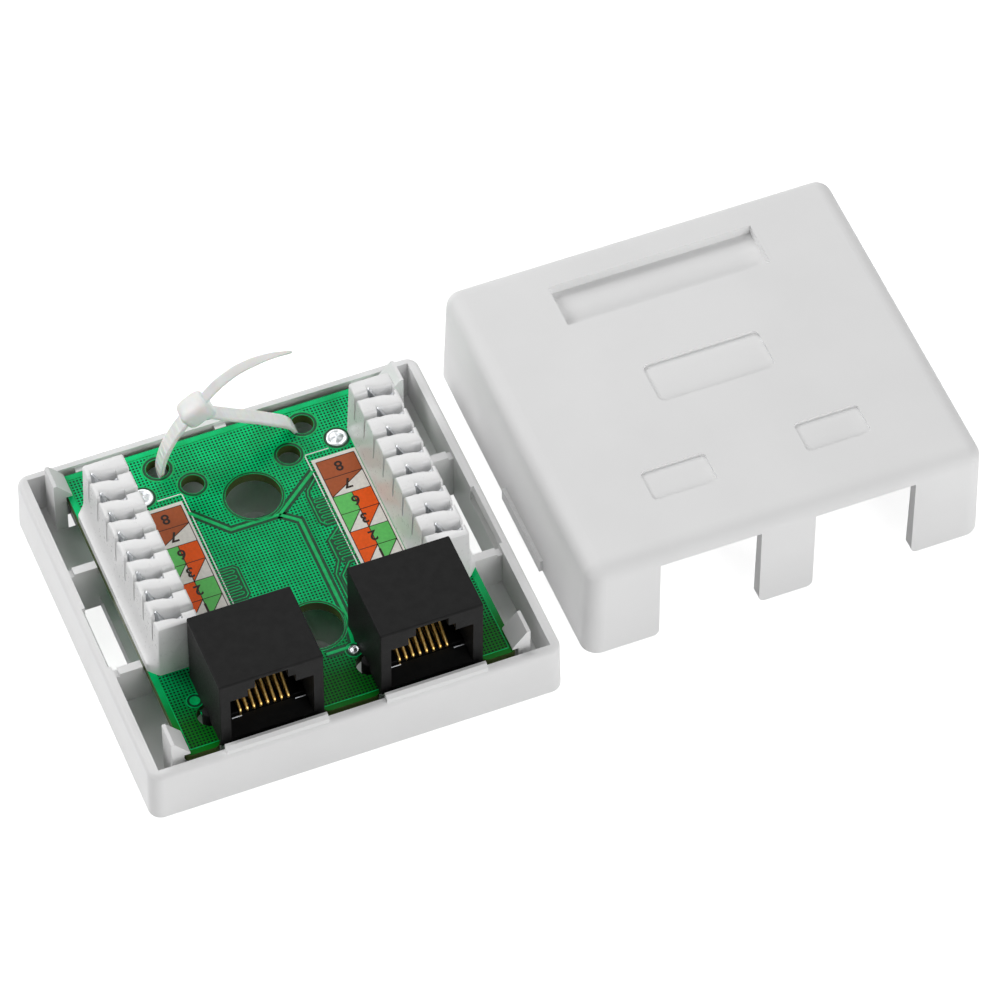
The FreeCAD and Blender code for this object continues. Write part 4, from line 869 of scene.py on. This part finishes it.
class JACKBOX_OT_stage(bpy.types.Operator):
    """Pale floor, soft studio light and the camera at the photograph's angle"""
    bl_idname = "jackbox.stage"
    bl_label = "Stage"

    def execute(self, context):
        settings = context.scene.jackbox_stage
        scene = context.scene
        material, tree, surface = bare_material("pale_floor", {"Base_Color": settings.floor, "Roughness": 0.9,
                                                               "Specular_IOR_Level": 0.0})
        level = node(tree, "Math", {0: seen_directly(tree), 1: settings.floor_glow}, operation="MULTIPLY")
        glow = node(tree, "Emission", {"Color": (1, 1, 1, 1), "Strength": level})
        both = node(tree, "AddShader", {0: surface, 1: glow})
        tree.links.new(both.outputs[0], tree.nodes["Material Output"].inputs["Surface"])
        reach, floor_level = 3.0, -0.05 * MM
        mesh = bpy.data.meshes.new("floor")
        mesh.from_pydata([(x, y, 0) for x, y in rectangle(-reach, reach, -reach, reach)], [], [(0, 1, 2, 3)])
        mesh.materials.append(material)
        floor = bpy.data.objects.new("floor", mesh)
        floor.location.z = floor_level
        scene.collection.objects.link(floor)

        world = bpy.data.worlds.new("studio")
        scene.world = world
        world.use_nodes = True
        tree = world.node_tree
        tree.nodes.clear()
        level = node(tree, "MapRange", {"Value": seen_directly(tree), "To Min": settings.sky, "To Max": 1.0})
        sky = node(tree, "Background", {"Color": (1, 1, 1, 1), "Strength": level})
        node(tree, "OutputWorld", {"Surface": sky}, is_active_output=True)

        # Soft boxes, aimed between the tray and the lid; all in metres.
        box_size, aim = 0.45, Vector((0.03, 0.0, 0.0))
        for name, place, power in (("rear_left_box", (-0.5, 0.4, 0.5), settings.left_power),
                                   ("back_box", (0.1, 0.6, 0.55), settings.back_power),
                                   ("front_right_box", (0.25, -0.65, 0.3), settings.front_power)):
            lamp = bpy.data.lights.new(name, "AREA")
            lamp.size, lamp.energy = box_size, power
            holder = bpy.data.objects.new(name, lamp)
            holder.location = place
            holder.rotation_euler = (aim - Vector(place)).to_track_quat("-Z", "Y").to_euler()
            scene.collection.objects.link(holder)

        # The photograph's view: the camera's right, up and back directions, its place in metres and its lens.
        camera = bpy.data.cameras.new("camera")
        camera.sensor_width, camera.lens, camera.clip_start, camera.clip_end = 36.0, 225.85, 0.01, 10.0
        holder = bpy.data.objects.new("camera", camera)
        turn = Matrix(((0.92729786, -0.37427451, 0.00610419), (0.29207244, 0.73364191, 0.613566),
                       (-0.2341204, -0.56717557, 0.78961985))).transposed().to_4x4()
        turn.translation = (-0.17632, -0.50586, 0.71246)
        holder.matrix_world = turn
        scene.collection.objects.link(holder)
        bpy.context.scene.camera = holder
        scene.view_settings.view_transform = "Standard"
        return {"FINISHED"}


OPERATORS = (JACKBOX_OT_shell, JACKBOX_OT_board, JACKBOX_OT_jacks, JACKBOX_OT_blocks, JACKBOX_OT_labels,
             JACKBOX_OT_tie, JACKBOX_OT_stage)
GROUPS = {"jackbox_shell": ShellSettings, "jackbox_board": BoardSettings, "jackbox_jack": JackSettings,
          "jackbox_block": BlockSettings, "jackbox_label": LabelSettings, "jackbox_tie": TieSettings,
          "jackbox_stage": StageSettings}


class JACKBOX_PT_pieces(bpy.types.Panel):
    bl_idname = "JACKBOX_PT_pieces"
    bl_label = "Jack box"
    bl_space_type = "VIEW_3D"
    bl_region_type = "UI"
    bl_category = "Jack box"

    def draw(self, context):
        for operator, (name, group) in zip(OPERATORS, GROUPS.items()):
            column = self.layout.box().column()
            column.operator(operator.bl_idname)
            for key in group.__annotations__:
                column.prop(getattr(context.scene, name), key)


def register():
    for group in GROUPS.values():
        bpy.utils.register_class(group)
    for name, group in GROUPS.items():
        setattr(bpy.types.Scene, name, PointerProperty(type=group))
    for item in (*OPERATORS, JACKBOX_PT_pieces):
        bpy.utils.register_class(item)


def unregister():
    for item in (JACKBOX_PT_pieces, *reversed(OPERATORS)):
        bpy.utils.unregister_class(item)
    for name, group in GROUPS.items():
        delattr(bpy.types.Scene, name)
        bpy.utils.unregister_class(group)


def main():
    register()
    for operator in OPERATORS:
        group, name = operator.bl_idname.split(".")
        getattr(getattr(bpy.ops, group), name)()


if __name__ == "__main__":
    main()
